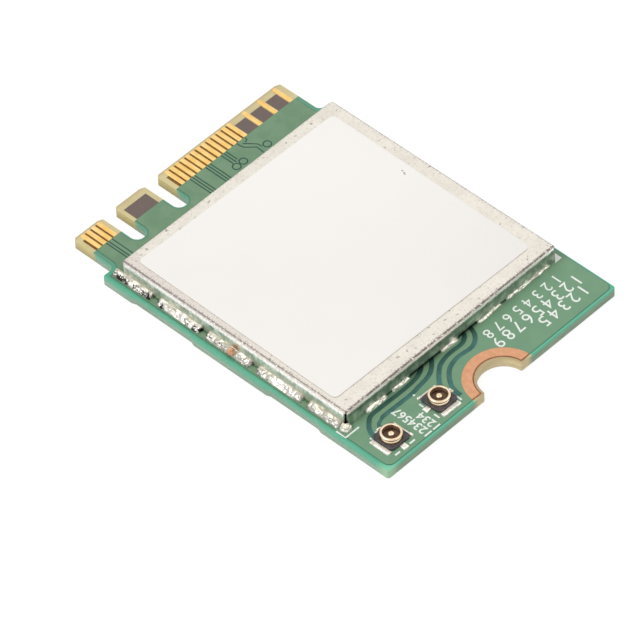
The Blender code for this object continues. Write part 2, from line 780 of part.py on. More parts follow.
def build_jack_shell(name, placed, mats):
    """The turned, waisted ring that takes the plug, on three straps that end in solder feet."""
    base_z = POCKET_FLOOR + SHELL_BASE_RISE
    waist_z = POCKET_FLOOR + SHELL_WAIST_RISE
    lip_z = SHELL_TOP - SHELL_LIP_ROUND
    profile = [(SHELL_BORE, POCKET_FLOOR), (SHELL_BASE, POCKET_FLOOR), (SHELL_BASE, base_z)]
    profile += flare(SHELL_BASE, base_z, SHELL_WAIST, waist_z)
    profile.append((SHELL_WAIST, waist_z))
    profile += flare(SHELL_WAIST, waist_z, SHELL_LIP, lip_z)
    profile += arc(SHELL_LIP - SHELL_LIP_ROUND, lip_z, SHELL_LIP_ROUND, 0, 90, CORNER_STEPS)
    profile += arc(
        SHELL_BORE + SHELL_MOUTH, SHELL_TOP - SHELL_MOUTH, SHELL_MOUTH, 90, 180, CORNER_STEPS
    )
    shell = turned(f"{name}_shell", profile, [mats["gold"]], **placed)
    shade_smooth_by_angle(shell, 50.0)
    for number, side in enumerate(GROUND_SIDES, 1):
        for part, shape in (("strap", strap_parts(side)), ("foot", foot_parts(side))):
            piece = mesh_object(f"{name}_{part}_{number}", *shape, [mats["gold"]], **placed)
            combine(shell, piece, "UNION")


def build_jack_contact(name, placed, mats):
    """The centre pin, on a flat lead that runs out under the housing."""
    profile = [(PIN_RADIUS, 0.0)]
    profile += arc(PIN_RADIUS - PIN_ROUND, PIN_HEIGHT - PIN_ROUND, PIN_ROUND, 0, 90, CORNER_STEPS)
    pin = disc_stack(f"{name}_contact", profile, [mats["gold"]], **placed)
    shade_smooth_by_angle(pin, 50.0)
    half = LEAD_WIDTH / 2
    lead = box_parts(-half, half, -half, FOOT_OUTER, 0.0, LEAD_THICKNESS)
    combine(pin, mesh_object(f"{name}_lead", *lead, [mats["gold"]], **placed), "UNION")


def build_jacks(mats):
    """Two surface-mounted coaxial jacks beside the screw notch."""
    places_x = (JACK_FROM_LEFT - HALF_WIDTH, -LAND_DIAMETER / 2 - JACK_FROM_LAND)
    jacks = zip(places_x, JACKS_FROM_REAR, JACK_TURNS, strict=True)
    for number, (x, from_rear, turns) in enumerate(jacks, 1):
        name = f"antenna_jack_{number}"
        placed = {"place": (x, REAR_Y + from_rear, BOARD_Z), "turns": turns}
        build_jack_housing(name, placed, mats)
        build_jack_shell(name, placed, mats)
        build_jack_contact(name, placed, mats)


def build_chip(name, x, y, size_x, size_y, height, made):
    x0 = x - size_x / 2
    x1 = x + size_x / 2
    y0 = y - size_y / 2
    y1 = y + size_y / 2
    c = CHIP_CHAMFER
    top = BOARD_Z + height
    rings = [
        [(px, py, BOARD_Z) for px, py in rectangle(x0, x1, y0, y1)],
        [(px, py, top - c) for px, py in rectangle(x0, x1, y0, y1)],
        [(px, py, top) for px, py in rectangle(x0 + c, x1 - c, y0 + c, y1 - c)],
    ]
    return loft(name, rings, [made])


def build_passive(name, x, y, height, body, mats):
    """A two-ended chip part, its solderable ends in the second material."""
    end = PASSIVE_LENGTH / 2
    side = PASSIVE_WIDTH / 2
    rings = []
    for along in (-end, PASSIVE_END - end, end - PASSIVE_END, end):
        section = rectangle(y - side, y + side, BOARD_Z, BOARD_Z + height)
        rings.append([(x + along, across, z) for across, z in section])
    slots = [1] + [1] * 4 + [0] * 4 + [1] * 4 + [1]
    return loft(name, rings, [body, mats["solder"]], slots=slots)


def build_inner_parts(mats):
    for name, x, wall, y, size_x, size_y, height, key in CHIPS:
        build_chip(name, CAN_X + x, CAN_PLACES[wall] + y, size_x, size_y, height, mats[key])
    kinds = (
        ("capacitor", CAPACITORS, CAPACITOR_HEIGHT, mats["capacitor_clay"]),
        ("resistor", RESISTORS, RESISTOR_HEIGHT, mats["black_resin"]),
    )
    for kind, places, height, body in kinds:
        for number, (x, wall, y) in enumerate(places, 1):
            place_y = CAN_PLACES[wall] + y
            build_passive(f"{kind}_{number}", CAN_X + x, place_y, height, body, mats)


def main():
    clear_scene()
    mats = {
        "solder_mask": material("solder_mask", (0.10, 0.30, 0.17), 0.0, 0.35),
        "gold": material("gold", (0.86, 0.58, 0.22), 1.0, 0.3),
        "plated_steel": material("plated_steel", (0.72, 0.70, 0.66), 1.0, 0.35),
        "label_film": material("label_film", (0.88, 0.87, 0.84), 0.0, 0.5),
        "solder": material("solder", (0.80, 0.80, 0.79), 1.0, 0.2),
        "housing": material("housing", (0.035, 0.035, 0.04), 0.0, 0.45),
        "black_resin": material("black_resin", (0.02, 0.02, 0.022), 0.0, 0.5),
        "ferrite": material("ferrite", (0.11, 0.11, 0.12), 0.0, 0.6),
        "ceramic": material("ceramic", (0.75, 0.73, 0.68), 0.0, 0.4),
        "capacitor_clay": material("capacitor_clay", (0.42, 0.27, 0.16), 0.0, 0.45),
    }
    build_board(mats)
    build_can(mats)
    build_label(mats)
    build_beads(mats)
    build_ball(mats)
    build_jacks(mats)
    build_inner_parts(mats)


main()
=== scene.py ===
"""Looks of the plug-in wireless card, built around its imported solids.

Everything is worked out in millimetres in the card's own frame and turned into metres when a mesh
is made. +X runs along the contact edge, +Y out of it, +Z up on the shield side. The front is the
end with the screw notch.
"""

import math

import bmesh
import bpy
from mathutils import Euler, Matrix, Vector, noise


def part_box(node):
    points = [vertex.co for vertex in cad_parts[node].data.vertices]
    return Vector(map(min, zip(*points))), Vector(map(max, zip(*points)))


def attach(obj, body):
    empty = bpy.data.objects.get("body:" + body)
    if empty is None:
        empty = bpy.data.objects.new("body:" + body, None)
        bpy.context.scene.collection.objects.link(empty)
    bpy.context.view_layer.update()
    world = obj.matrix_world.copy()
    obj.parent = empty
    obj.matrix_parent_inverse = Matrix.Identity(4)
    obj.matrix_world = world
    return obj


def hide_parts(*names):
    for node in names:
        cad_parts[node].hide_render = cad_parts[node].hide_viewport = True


MM = 0.001
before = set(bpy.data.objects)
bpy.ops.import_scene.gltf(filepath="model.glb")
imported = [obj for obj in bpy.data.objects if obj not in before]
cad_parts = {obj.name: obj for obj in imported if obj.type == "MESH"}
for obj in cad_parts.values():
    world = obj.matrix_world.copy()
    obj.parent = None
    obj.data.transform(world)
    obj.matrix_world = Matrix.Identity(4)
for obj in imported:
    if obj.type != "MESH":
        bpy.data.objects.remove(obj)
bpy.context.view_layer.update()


def box_mm(node):
    low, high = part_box(node)
    return low / MM, high / MM


BOARD_LOW, BOARD_HIGH = box_mm("circuit_board")
CAN_LOW, CAN_HIGH = box_mm("shield_can")
LABEL_LOW, LABEL_HIGH = box_mm("blank_label")

# The camera that the photograph was taken with, fitted to the card's known sizes
AZIMUTH = -44.5758
ELEVATION = 46.8718
ROLL = -2.538
DISTANCE = 442.6085
TARGET = (-4.2461, -2.4957, 0.8)
FOCAL = 377.66
SENSOR = 36.0

# Light on the white stage: place, size in metres and power of each lamp
WORLD_LIGHT = 0.56
KEY_LIGHT = 24.4
LAMPS = (
    ("key", (-1.44, 0.48, 1.68), 1.4, KEY_LIGHT),
    ("fill", (1.2, -0.84, 1.6), 1.6, 0.36 * KEY_LIGHT),
)

# Board
COPPER = 0.03
FACE_Z = BOARD_HIGH.z - COPPER
UNDER_Z = BOARD_LOW.z + COPPER
THICKNESS = BOARD_HIGH.z - BOARD_LOW.z
HALF_WIDTH = BOARD_HIGH.x
EDGE_Y = BOARD_HIGH.y
FRONT_Y = BOARD_LOW.y
SHOULDER_Y = EDGE_Y - 4.0
SHOULDER_STEP = 1.075
HALF_TONGUE = HALF_WIDTH - SHOULDER_STEP
ROOT_RADIUS = 0.45
TIP_CHAMFER = 0.3
BEVEL_LENGTH = 0.25
BEVEL_DROP = 0.15
SLOT_HALF = 0.6
SLOT_DEPTH = 3.5
SLOT_XS = (-6.625, -2.625)
NOTCH_RADIUS = 1.75
NOTCH_TIP_ROUND = 0.15
SCAR_DEPTH = 0.12
SCAR_RUN = 0.35
SCARS = ((-8.6, -4.35), (2.95, 8.05))
BOARD_CORNER = 0.2
SHOULDER_CORNER = 0.15

# Bare copper round the screw notch
LAND_RADIUS = 2.75
LAND_INNER = 2.02
LAND_SETBACK = 0.25
LAND_RIM = 0.09

# Mask and copper planes. The insets are those from the left edge and the tongue, from the right
# edge, from the front and from the slots.
MASK_EDGE_Y = 13.0
MASK_INSET = 0.01
PLANE_INSET = 0.36
PLANE_INSETS = (PLANE_INSET, 0.14, 0.22, 0.16)
PLANE_CORNER = 0.5
# Width of the band of painted shade round the copper plane
DARK_EDGE = 0.05
LAYER_SINK = 0.01

# Edge contacts, which are numbered along X, the odd ones on top
CONTACT_PITCH = 0.25
MIDDLE_CONTACT = 38
CONTACT_WIDTH = 0.35
CONTACT_END_Y = EDGE_Y - 0.25
CONTACT_TAPER = 0.09
CONTACT_ROUND = 0.07
TOP_CONTACTS = (1, 3, 5, 7, *range(33, 58, 2), 63, 69, 75)
UNDER_CONTACTS = (2, 4, 6, 16, 18, 20, 22, *range(32, 75, 2))

# Dark strips between the contacts, painted shade and reflection of the gold, and patches of inner
# copper: the X of each patch and of two strips beside the slots
GAP_END_Y = 14.66
PATCH_END_Y = 14.28
TOP_PATCHES = ((-5.72, -3.63), (4.97, 6.03), (6.47, 7.53), (7.98, 9.04))
LEFT_STRIPS = ((-9.6, -9.42), (-1.64, -1.42))

# Gaps in the copper beside the traces that leave the contacts, and rings round the vias
LINE_WIDTH = 0.1
LINE_LOW_Y = CAN_HIGH.y - 0.5
STRAIGHT_GAPS = (-8.15, -8.47, -8.69, -0.23, -0.46, -0.69, 1.26, 1.03, 0.8)
BENT_GAPS = (
    ((2.79, MASK_EDGE_Y), (2.79, 11.9)),
    ((2.56, MASK_EDGE_Y), (2.56, 12.2), (2.56, 11.75)),
    ((2.31, MASK_EDGE_Y), (2.31, 11.8)),
    ((3.83, MASK_EDGE_Y), (3.83, 12.66), (3.9, 12.35), (4.5, 11.73), (4.42, 10.6)),
    ((4.08, 12.66), (4.28, 12.46), (4.76, 11.86), (4.78, 11.5)),
    ((4.62, MASK_EDGE_Y), (4.58, 12.72), (4.3, 12.62)),
)
VIA_RINGS = ((2.27, 11.45), (2.93, 11.47), (5.19, 11.4))
VIA_RADIUS = 0.29

# The two antenna lines: the gaps on either side of each, from under the can to its jack
RF_GAP_WIDTH = 0.34
RF_LINE_WIDTH = 0.2
RF_GAPS = (
    ((-2.5, -9.6), (-2.83, -10.28), (-3.66, -10.71), (-4.84, -10.84), (-7.02, -10.82),
     (-8.2, -10.84), (-8.81, -11.23), (-9.22, -11.71), (-9.42, -12.3), (-9.3, -12.75)),
    ((-1.6, -9.6), (-1.88, -10.31), (-2.55, -10.93), (-3.19, -11.24), (-4.2, -11.39),
     (-5.23, -11.5), (-7.52, -11.47), (-8.1, -11.54), (-8.5, -11.75), (-8.6, -12.1)),
    ((1.3, -9.6), (1.14, -10.43), (0.8, -10.74), (0.32, -10.89), (-0.84, -10.88),
     (-1.8, -11.09), (-2.51, -11.58), (-3.14, -12.22), (-3.3, -12.6)),
    ((2.0, -9.6), (1.86, -10.38), (1.61, -10.96), (1.11, -11.42), (0.49, -11.59),
     (-0.65, -11.51), (-1.59, -11.75), (-2.18, -12.19), (-2.72, -12.86), (-2.94, -13.5),
     (-2.93, -13.95)),
)

# White marks round the can and the jacks, each a line from end to end
SILK_HEIGHT = 0.012
SILK_WIDTH = 0.13
SILK_LINES = (
    ((-10.71, -10.1), (-10.71, -10.94), (-9.45, -10.94)),
    ((-8.3, -14.38), (-7.82, -14.38)), ((-9.68, -14.38), (-9.22, -14.38)),
    ((-5.36, -12.48), (-5.36, -12.86)), ((-5.36, -13.8), (-5.36, -14.28)),
    ((-3.22, -13.84), (-3.22, -14.27)), ((-9.68, -12.14), (-9.68, -12.3)),
    ((-9.1, -12.07), (-8.94, -12.07)), ((-5.1, -11.69), (-4.94, -11.69)),
)
SILK_TRIANGLE = ((10.6, -9.9), (9.95, -10.54), (10.6, -10.54))

# Plain counting numbers: how many digits, X and Y of the first one, turn in degrees, height, step
# from digit to digit, and how much bolder than the font
FONT_SIZE_PER_HEIGHT = 1.38
NUMBERS = (
    (5, 9.7, -13.1, 180, 1.0, 0.95, 0.0), (9, 10.1, -12.15, 180, 1.0, 0.95, 0.0),
    (8, 9.2, -11.2, 180, 0.85, 0.95, 0.0),
    (7, -6.55, -14.9, 90, 0.66, 0.47, 0.015), (4, -5.75, -14.9, 90, 0.66, 0.47, 0.015),
)

# Shield can, with gaps between its solder runs and tunnels over the antenna lines
CAN_SHEET = 0.15
CAN_FOLD = 0.15
CAN_FOLD_DROP = 0.32
CAN_CORNER = 0.2
FOLD_STEPS = 10
CORNER_OPENING = 0.06
CORNER_DROP = 0.12
FOOT_NOTCH_HEIGHT = 0.18
BEAD_GAP = 0.66
TUNNEL_HEIGHT = 0.3
TUNNEL_ROUND = 0.14
CAN_SIDES = (CAN_LOW.x, CAN_HIGH.x, CAN_LOW.y, CAN_HIGH.y)
CAN_X = (CAN_LOW.x + CAN_HIGH.x) / 2
CAN_Y = (CAN_LOW.y + CAN_HIGH.y) / 2
TUNNELS = tuple((CAN_X + a, CAN_X + b) for a, b in ((-4.15, -1.1), (0.55, 2.45)))
SIDE_GAPS = tuple(CAN_Y + y for y in (-6.71, -2.12, 2.48, 7.01))
FRONT_GAPS = tuple(CAN_X + x for x in (-6.05, 4.98))
BACK_GAPS = tuple(CAN_X + x for x in (-4.6, -0.05, 4.5))
CUT_PAST = 0.2

# The can's looks: a white, ragged rim along the folds, a painted highlight, and a dark line with ticks
# across it, a painted reflection in each top bend
RIM_START = 0.1
RIM_END = 0.3
RIM_RAGGED = 0.3
FRONT_RIM_RISE = 0.1
FOLD_LINE_WIDTH = 0.09
TICK_PITCH = 0.24
TICK_REACH = 0.24
TICK_DRIFT = 30.0

# Label, a little askew as it was stuck on, and specks of dirt on it
LABEL_SIZE = (18.56, 18.23)
LABEL_MIDDLE = (-0.204, 0.006)
LABEL_TURN = -0.7
LABEL_RADIUS = 0.4
LABEL_SPECKS = ((8.43, 1.9), (8.37, 1.68), (8.32, 1.56))

# Solder runs: side, numbers, axis and sign that they grow out along, material, how far they fill
# their packed ramp and how lumpy they are
BEAD_RUNS = (
    ("left", range(1, 6), 0, -1, "solder", 1.2, 0.05),
    ("right", range(1, 6), 0, 1, "solder", 1.0, 0.16),
    ("front", range(1, 4), 1, -1, "front_solder", 0.8, 0.6),
    ("front", range(4, 6), 1, -1, "front_solder", 0.52, 0.5),
    ("back", range(1, 5), 1, 1, "front_solder", 1.0, 0.16),
)
BEAD_PAIR = 8.7
BEAD_STEP = 0.03
BEAD_SECTION_STEPS = 18
BEAD_LIP = 0.14
BEAD_OVERRUN = 0.09
BEAD_SINK = 0.02
DROP_LEVELS = 20

# The amber drop of flux on the middle run of the left wall
FLUX_CENTRE = (-10.4, -0.3, FACE_Z + 0.22)
FLUX_RADII = (0.24, 0.32)
FLUX_HEIGHT = 0.43
FLUX_LEVELS = 10

# Antenna jacks, with heights above the board
JACK_BORE = 0.6
JACK_BASE = 0.71
JACK_WAIST = 0.66
JACK_LIP = 0.77
JACK_FLOOR = 0.14
JACK_BASE_TOP = 0.23
JACK_WAIST_Z = 0.36
JACK_TOP = 0.62
JACK_LIP_ROUND = 0.07
JACK_MOUTH = 0.04
POCKET = 0.74
HOUSING_HALF = 0.92
HOUSING_HEIGHT = 0.22
HOUSING_CHAMFER = 0.2
FOOT_INNER = 0.94
FOOT_OUTER = 1.21
FAR_FOOT_OUTER = 1.08
PAD_OUTER = 1.38
FOOT_START = -0.92
FOOT_END = 0.72
FOOT_HEIGHT = 0.12
PAD_HALF = 0.2
LEAD_HEIGHT = 0.07
PIN_RADIUS = 0.21
PIN_HEIGHT = 0.5
PIN_ROUND = 0.1
FILLET_RISE = 0.06
FILLET_INSET = 0.11
FILLET_LEVELS = 8


def jack_place(number, turns):
    """Middle of a jack's housing and the quarter turns that it stands at."""
    low, high = box_mm(f"antenna_jack_{number}_housing")
    return (low.x + high.x) / 2, (low.y + high.y) / 2, turns


JACKS = (jack_place(1, 0), jack_place(2, -1))

# Materials of the solids that stay as they are, by the start of their names
KEPT_LOOKS = {
    "amplifier": "resin", "band_filter": "ceramic", "capacitor": "clay", "crystal": "tin",
    "flash_memory": "resin", "power_inductor": "ferrite", "radio_chip": "resin",
    "resistor": "resin", "voltage_regulator": "resin",
}


# Outlines

def arc(x, y, radius, start, end, steps):
    """Points from one angle to another in degrees, both ends included."""
    angles = [math.radians(start + (end - start) * i / steps) for i in range(steps + 1)]
    return [(x + radius * math.cos(a), y + radius * math.sin(a)) for a in angles]


def circle(radius, steps):
    """Points of a full turn about the origin."""
    return arc(0, 0, radius, 0, 360, steps)[:-1]


def quarter(steps, count):
    """Cosine and sine at the first angles of a quarter turn in so many steps."""
    angles = [math.pi / 2 * step / steps for step in range(count)]
    return [(math.cos(angle), math.sin(angle)) for angle in angles]


def rectangle(x0, x1, y0, y1):
    return [(x0, y0), (x1, y0), (x1, y1), (x0, y1)]


def inside(x0, x1, y0, y1, inset):
    """The sides of a rectangle, moved in."""
    return x0 + inset, x1 - inset, y0 + inset, y1 - inset


def rounded_rectangle(x0, x1, y0, y1, radius, steps):
    """A rectangle with rounded corners, or with chamfers where steps is 1."""
    inner = rectangle(*inside(x0, x1, y0, y1, radius))
    outline = []
    for turn, (x, y) in enumerate([*inner[1:], inner[0]]):
        outline += arc(x, y, radius, 90 * turn - 90, 90 * turn, steps)
    return outline


def board_outline(insets=(0.0,) * 4, tip_y=EDGE_Y, chamfer=TIP_CHAMFER, notch=NOTCH_RADIUS,
                  corner=BOARD_CORNER, scars=SCARS):
    """Counter-clockwise outline of the board, or of a layer set in from its edges."""
    inset, right_inset, front_inset, slot_inset = insets
    right = HALF_WIDTH - right_inset
    left = inset - HALF_WIDTH
    front = FRONT_Y + front_inset
    shoulder = SHOULDER_Y - inset
    small = SHOULDER_CORNER
    root_x = HALF_TONGUE + ROOT_RADIUS
    root_y = SHOULDER_Y + ROOT_RADIUS
    tongue = HALF_TONGUE - inset
    outline = arc(right - corner, front + corner, corner, -90, 0, 8)
    outline += arc(right - small, shoulder - small, small, 0, 90, 4)
    outline += arc(root_x, root_y, ROOT_RADIUS + inset, 270, 180, 8)
    outline += [(tongue, tip_y - chamfer), (tongue - chamfer, tip_y)]
    slot_y = EDGE_Y - SLOT_DEPTH + SLOT_HALF
    reach = SLOT_HALF + slot_inset
    for x in sorted(SLOT_XS, reverse=True):
        outline += [(x + reach + chamfer, tip_y), (x + reach, tip_y - chamfer)]
        outline += arc(x, slot_y, reach, 0, -180, 20)
        outline += [(x - reach, tip_y - chamfer), (x - reach - chamfer, tip_y)]
    outline += [(chamfer - tongue, tip_y), (-tongue, tip_y - chamfer)]
    outline += arc(-root_x, root_y, ROOT_RADIUS + inset, 0, -90, 8)
    outline += arc(left + small, shoulder - small, small, 90, 180, 4)
    for low, high in reversed(scars):
        outline += [(left, high + SCAR_RUN), (left + SCAR_DEPTH, high)]
        outline += [(left + SCAR_DEPTH, low), (left, low - SCAR_RUN)]
    outline += arc(left + corner, front + corner, corner, 180, 270, 8)
    outline += notch_outline(notch, front)
    return without_repeats(outline)


def notch_outline(radius, front):
    """The half round notch from left to right, its two tips rounded."""
    tip = NOTCH_TIP_ROUND
    rise = front + tip - FRONT_Y
    reach = math.sqrt((radius + tip) ** 2 - rise ** 2)
    lean = math.degrees(math.atan2(rise, reach))
    return (
        arc(-reach, front + tip, tip, -90, -lean, 6)
        + arc(0, FRONT_Y, radius, 180 - lean, lean, 48)
        + arc(reach, front + tip, tip, 180 + lean, 270, 6)
    )


def without_repeats(outline, least=1e-4):
    kept = []
    for point in outline:
        if not kept or math.dist(point, kept[-1]) > least:
            kept.append(point)
    if math.dist(kept[0], kept[-1]) <= least:
        kept.pop()
    return kept


def layer_outline(insets, corner=BOARD_CORNER, scars=()):
    """A layer of mask or copper, which ends square at the contacts and round the screw land."""
    return board_outline(insets, MASK_EDGE_Y, 0.0, LAND_RADIUS, corner, scars)


def land_outline(grown=0.0):
    """The half ring of bare copper round the screw notch."""
    inner = LAND_INNER - grown
    setback = LAND_SETBACK - grown
    first = math.degrees(math.asin(setback / LAND_RADIUS))
    second = math.degrees(math.asin(setback / inner))
    outline = arc(0, FRONT_Y, LAND_RADIUS, first, 180 - first, 64)
    return outline + arc(0, FRONT_Y, inner, 180 - second, second, 48)


def contact_x(number):
    return (number - MIDDLE_CONTACT) * CONTACT_PITCH


def contact_outline(number):
    """One edge contact: rounded where it meets the mask, tapered at the card's edge."""
    half = CONTACT_WIDTH / 2
    r = CONTACT_ROUND
    taper_y = CONTACT_END_Y - CONTACT_TAPER
    outline = arc(r - half, MASK_EDGE_Y + r, r, 180, 270, 4)
    outline += arc(half - r, MASK_EDGE_Y + r, r, 270, 360, 4)
    outline += [(half, taper_y), (half - CONTACT_TAPER, CONTACT_END_Y)]
    outline += [(CONTACT_TAPER - half, CONTACT_END_Y), (-half, taper_y)]
    return [(contact_x(number) + x, y) for x, y in outline]


def smooth_route(points, step=0.12):
    """A Catmull-Rom curve through the points, as evenly read points."""
    ends = [points[0], *points, points[-1]]
    route = []
    for i in range(1, len(ends) - 2):
        p0, p1, p2, p3 = (Vector(p) for p in ends[i - 1:i + 3])
        count = max(1, round((p2 - p1).length / step))
        for t in (k / count for k in range(count)):
            bend = (2 * p0 - 5 * p1 + 4 * p2 - p3) * t * t + (3 * p1 - p0 - 3 * p2 + p3) * t ** 3
            route.append(0.5 * (2 * p1 + (p2 - p0) * t + bend))
    route.append(Vector(points[-1]))
    return route


def middle_route(first, second, count=60):
    """The curve midway between two routes."""
    routes = [smooth_route(first), smooth_route(second)]
    middle = []
    for i in range(count + 1):
        pair = [route[round(i / count * (len(route) - 1))] for route in routes]
        middle.append((pair[0] + pair[1]) / 2)
    return middle


def ribbon(points, width):
    """The outline of a line of that width."""
    left = []
    right = []
    for i, point in enumerate(points):
        before = Vector(points[max(i - 1, 0)])
        after = Vector(points[min(i + 1, len(points) - 1)])
        along = (after - before).normalized()
        side = Vector((-along.y, along.x)) * width / 2
        left.append(tuple(Vector(point) + side))
        right.append(tuple(Vector(point) - side))
    return right + left[::-1]


# Shapes, each a list of points and a list of faces

def loft(rings, wrapped=False):
    """A skin over rings of equally many points, closed at its ends or wrapped into a ring."""
    points = [point for ring in rings for point in ring]
    total = len(points)
    count = len(rings[0])
    last = total - count
    faces = [] if wrapped else [list(reversed(range(count))), list(range(last, total))]
    for a in range(0, total if wrapped else last, count):
        b = (a + count) % total
        for i in range(count):
            j = (i + 1) % count
            faces.append([a + i, a + j, b + j, b + i])
    return points, faces


def prism(outlines, low, high):
    """One prism for each outline, all between the same two heights."""
    return joined(
        *(loft([[(x, y, z) for x, y in outline] for z in (low, high)]) for outline in outlines)
    )


def box(x0, x1, y0, y1, z0, z1):
    return prism([rectangle(x0, x1, y0, y1)], z0, z1)


def turned(profile, steps):
    """A ring-shaped solid of revolution about Z from a closed profile of (radius, height)."""
    turns = [2 * math.pi * step / steps for step in range(steps)]
    return loft([[(r * math.cos(a), r * math.sin(a), z) for r, z in profile] for a in turns], True)


def lathed(profile, steps=72):
    """A full solid of revolution about Z, closed by flat ends."""
    return loft([[(x, y, z) for x, y in circle(r, steps)] for r, z in profile])


def joined(*shapes):
    points = []
    faces = []
    for more_points, more_faces in shapes:
        start = len(points)
        points += more_points
        faces += [[start + i for i in face] for face in more_faces]
    return points, faces


def placed(shape, x, y, z, turns=0):
    """The shape turned by quarter turns about Z, then moved."""
    turn = Matrix.Rotation(turns * math.pi / 2, 3, "Z")
    points, faces = shape
    return [tuple(turn @ Vector(point) + Vector((x, y, z))) for point in points], faces


def on_side(side, shape):
    """The shape as drawn on the top, or mirrored to the underside at the same X and Y."""
    if side == "top":
        return shape
    points, faces = shape
    return [(x, y, THICKNESS - z) for x, y, z in points], faces


# Objects

def mesh_object(name, shape, keys=()):
    """An object in metres from a shape in millimetres, with the materials of those keys."""
    points, faces = shape
    mesh = bpy.data.meshes.new(name)
    mesh.from_pydata([Vector(point) * MM for point in points], [], faces)
    for key in keys:
        mesh.materials.append(looks[key])
    bm = bmesh.new()
    bm.from_mesh(mesh)
    bmesh.ops.recalc_face_normals(bm, faces=bm.faces)
    bm.to_mesh(mesh)
    bm.free()
    obj = bpy.data.objects.new(name, mesh)
    bpy.context.scene.collection.objects.link(obj)
    return obj


def piece(name, shape, keys, node=None, smooth_angle=None):
    """A visible piece of the card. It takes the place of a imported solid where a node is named."""
    obj = mesh_object(name, shape, keys)
    if smooth_angle is not None:
        smooth(obj, smooth_angle)
    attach(obj, "root")
    if node:
        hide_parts(node)
    return obj


def smooth(obj, degrees):
    mesh = obj.data
    mesh.polygons.foreach_set("use_smooth", [True] * len(mesh.polygons))
    mesh.set_sharp_from_angle(angle=math.radians(degrees))


def cut(obj, shape, overlapping=False):
    """Takes a shape away, whose own parts may overlap."""
    cutter = mesh_object("cutter", shape)
    modifier = obj.modifiers.new("cut", "BOOLEAN")
    modifier.operation = "DIFFERENCE"
    modifier.object = cutter
    modifier.use_self = overlapping
    apply_modifiers(obj)
    bpy.data.objects.remove(cutter)


def bevel(obj, width, segments=2, angle=40.0, smooth_angle=40.0):
    """Rounds the edges that are sharper than an angle, then shades the object smoothly."""
    modifier = obj.modifiers.new("bevel", "BEVEL")
    modifier.width = width * MM
    modifier.segments = segments
    modifier.limit_method = "ANGLE"
    modifier.angle_limit = math.radians(angle)
    apply_modifiers(obj)
    if smooth_angle is not None:
        smooth(obj, smooth_angle)


def apply_modifiers(obj):
    bpy.context.view_layer.update()
    graph = bpy.context.evaluated_depsgraph_get()
    mesh = bpy.data.meshes.new_from_object(obj.evaluated_get(graph), depsgraph=graph)
    old = obj.data
    obj.modifiers.clear()
    obj.data = mesh
    bpy.data.meshes.remove(old)


# Shader nodes

def colour(rgb):
    """A screen colour, from 0 to 255, as linear light."""
    linear = []
    for part in rgb:
        c = part / 255
        linear.append(c / 12.92 if c <= 0.04045 else ((c + 0.055) / 1.055) ** 2.4)
    return (*linear, 1.0)


class Value:
    """What a shader node gives. The usual signs reckon with it by adding further nodes."""

    def __init__(self, nodes, socket):
        self.nodes = nodes
        self.socket = socket

    def __add__(self, other):
        return self.nodes.math("ADD", self, other)

    def __sub__(self, other):
        return self.nodes.math("SUBTRACT", self, other)

    def __rsub__(self, other):
        return self.nodes.math("SUBTRACT", other, self)

    def __mul__(self, other):
        return self.nodes.math("MULTIPLY", self, other)

    def __abs__(self):
        return self.nodes.math("ABSOLUTE", self)

    def ramp(self, low, high, to_low=0.0, to_high=1.0):
        """From low to high, spread smoothly from to_low to to_high and held outside."""
        inputs = {
            "Value": self, "From Min": low, "From Max": high, "To Min": to_low, "To Max": to_high
        }
        return self.nodes.value("ShaderNodeMapRange", "Result", inputs, interpolation_type="SMOOTHSTEP")


class Nodes:
    """A short way to write a node tree."""

    def __init__(self, tree):
        self.tree = tree

    def node(self, kind, inputs=None, **settings):
        made = self.tree.nodes.new(kind)
        for key, setting in settings.items():
            setattr(made, key, setting)
        for key, source in (inputs or {}).items():
            self.put(made.inputs[key], source)
        return made

    def value(self, kind, output, inputs=None, **settings):
        """One output of a new node."""
        return Value(self, self.node(kind, inputs, **settings).outputs[output])

    def put(self, target, source):
        """Links a worked-out value to a socket, or sets a constant. A tuple is a screen colour."""
        if isinstance(source, Value):
            self.tree.links.new(source.socket, target)
        else:
            target.default_value = colour(source) if isinstance(source, tuple) else source

    def math(self, operation, first, second=0.0):
        return self.value("ShaderNodeMath", 0, {0: first, 1: second}, operation=operation)

    def larger(self, first, second):
        return self.math("MAXIMUM", first, second)

    def mix(self, factor, first, second):
        """The first colour where the factor is 0, the second where it is 1."""
        inputs = {"Factor": factor, "A": first, "B": second}
        return self.value("ShaderNodeMix", "Result", inputs, data_type="RGBA")


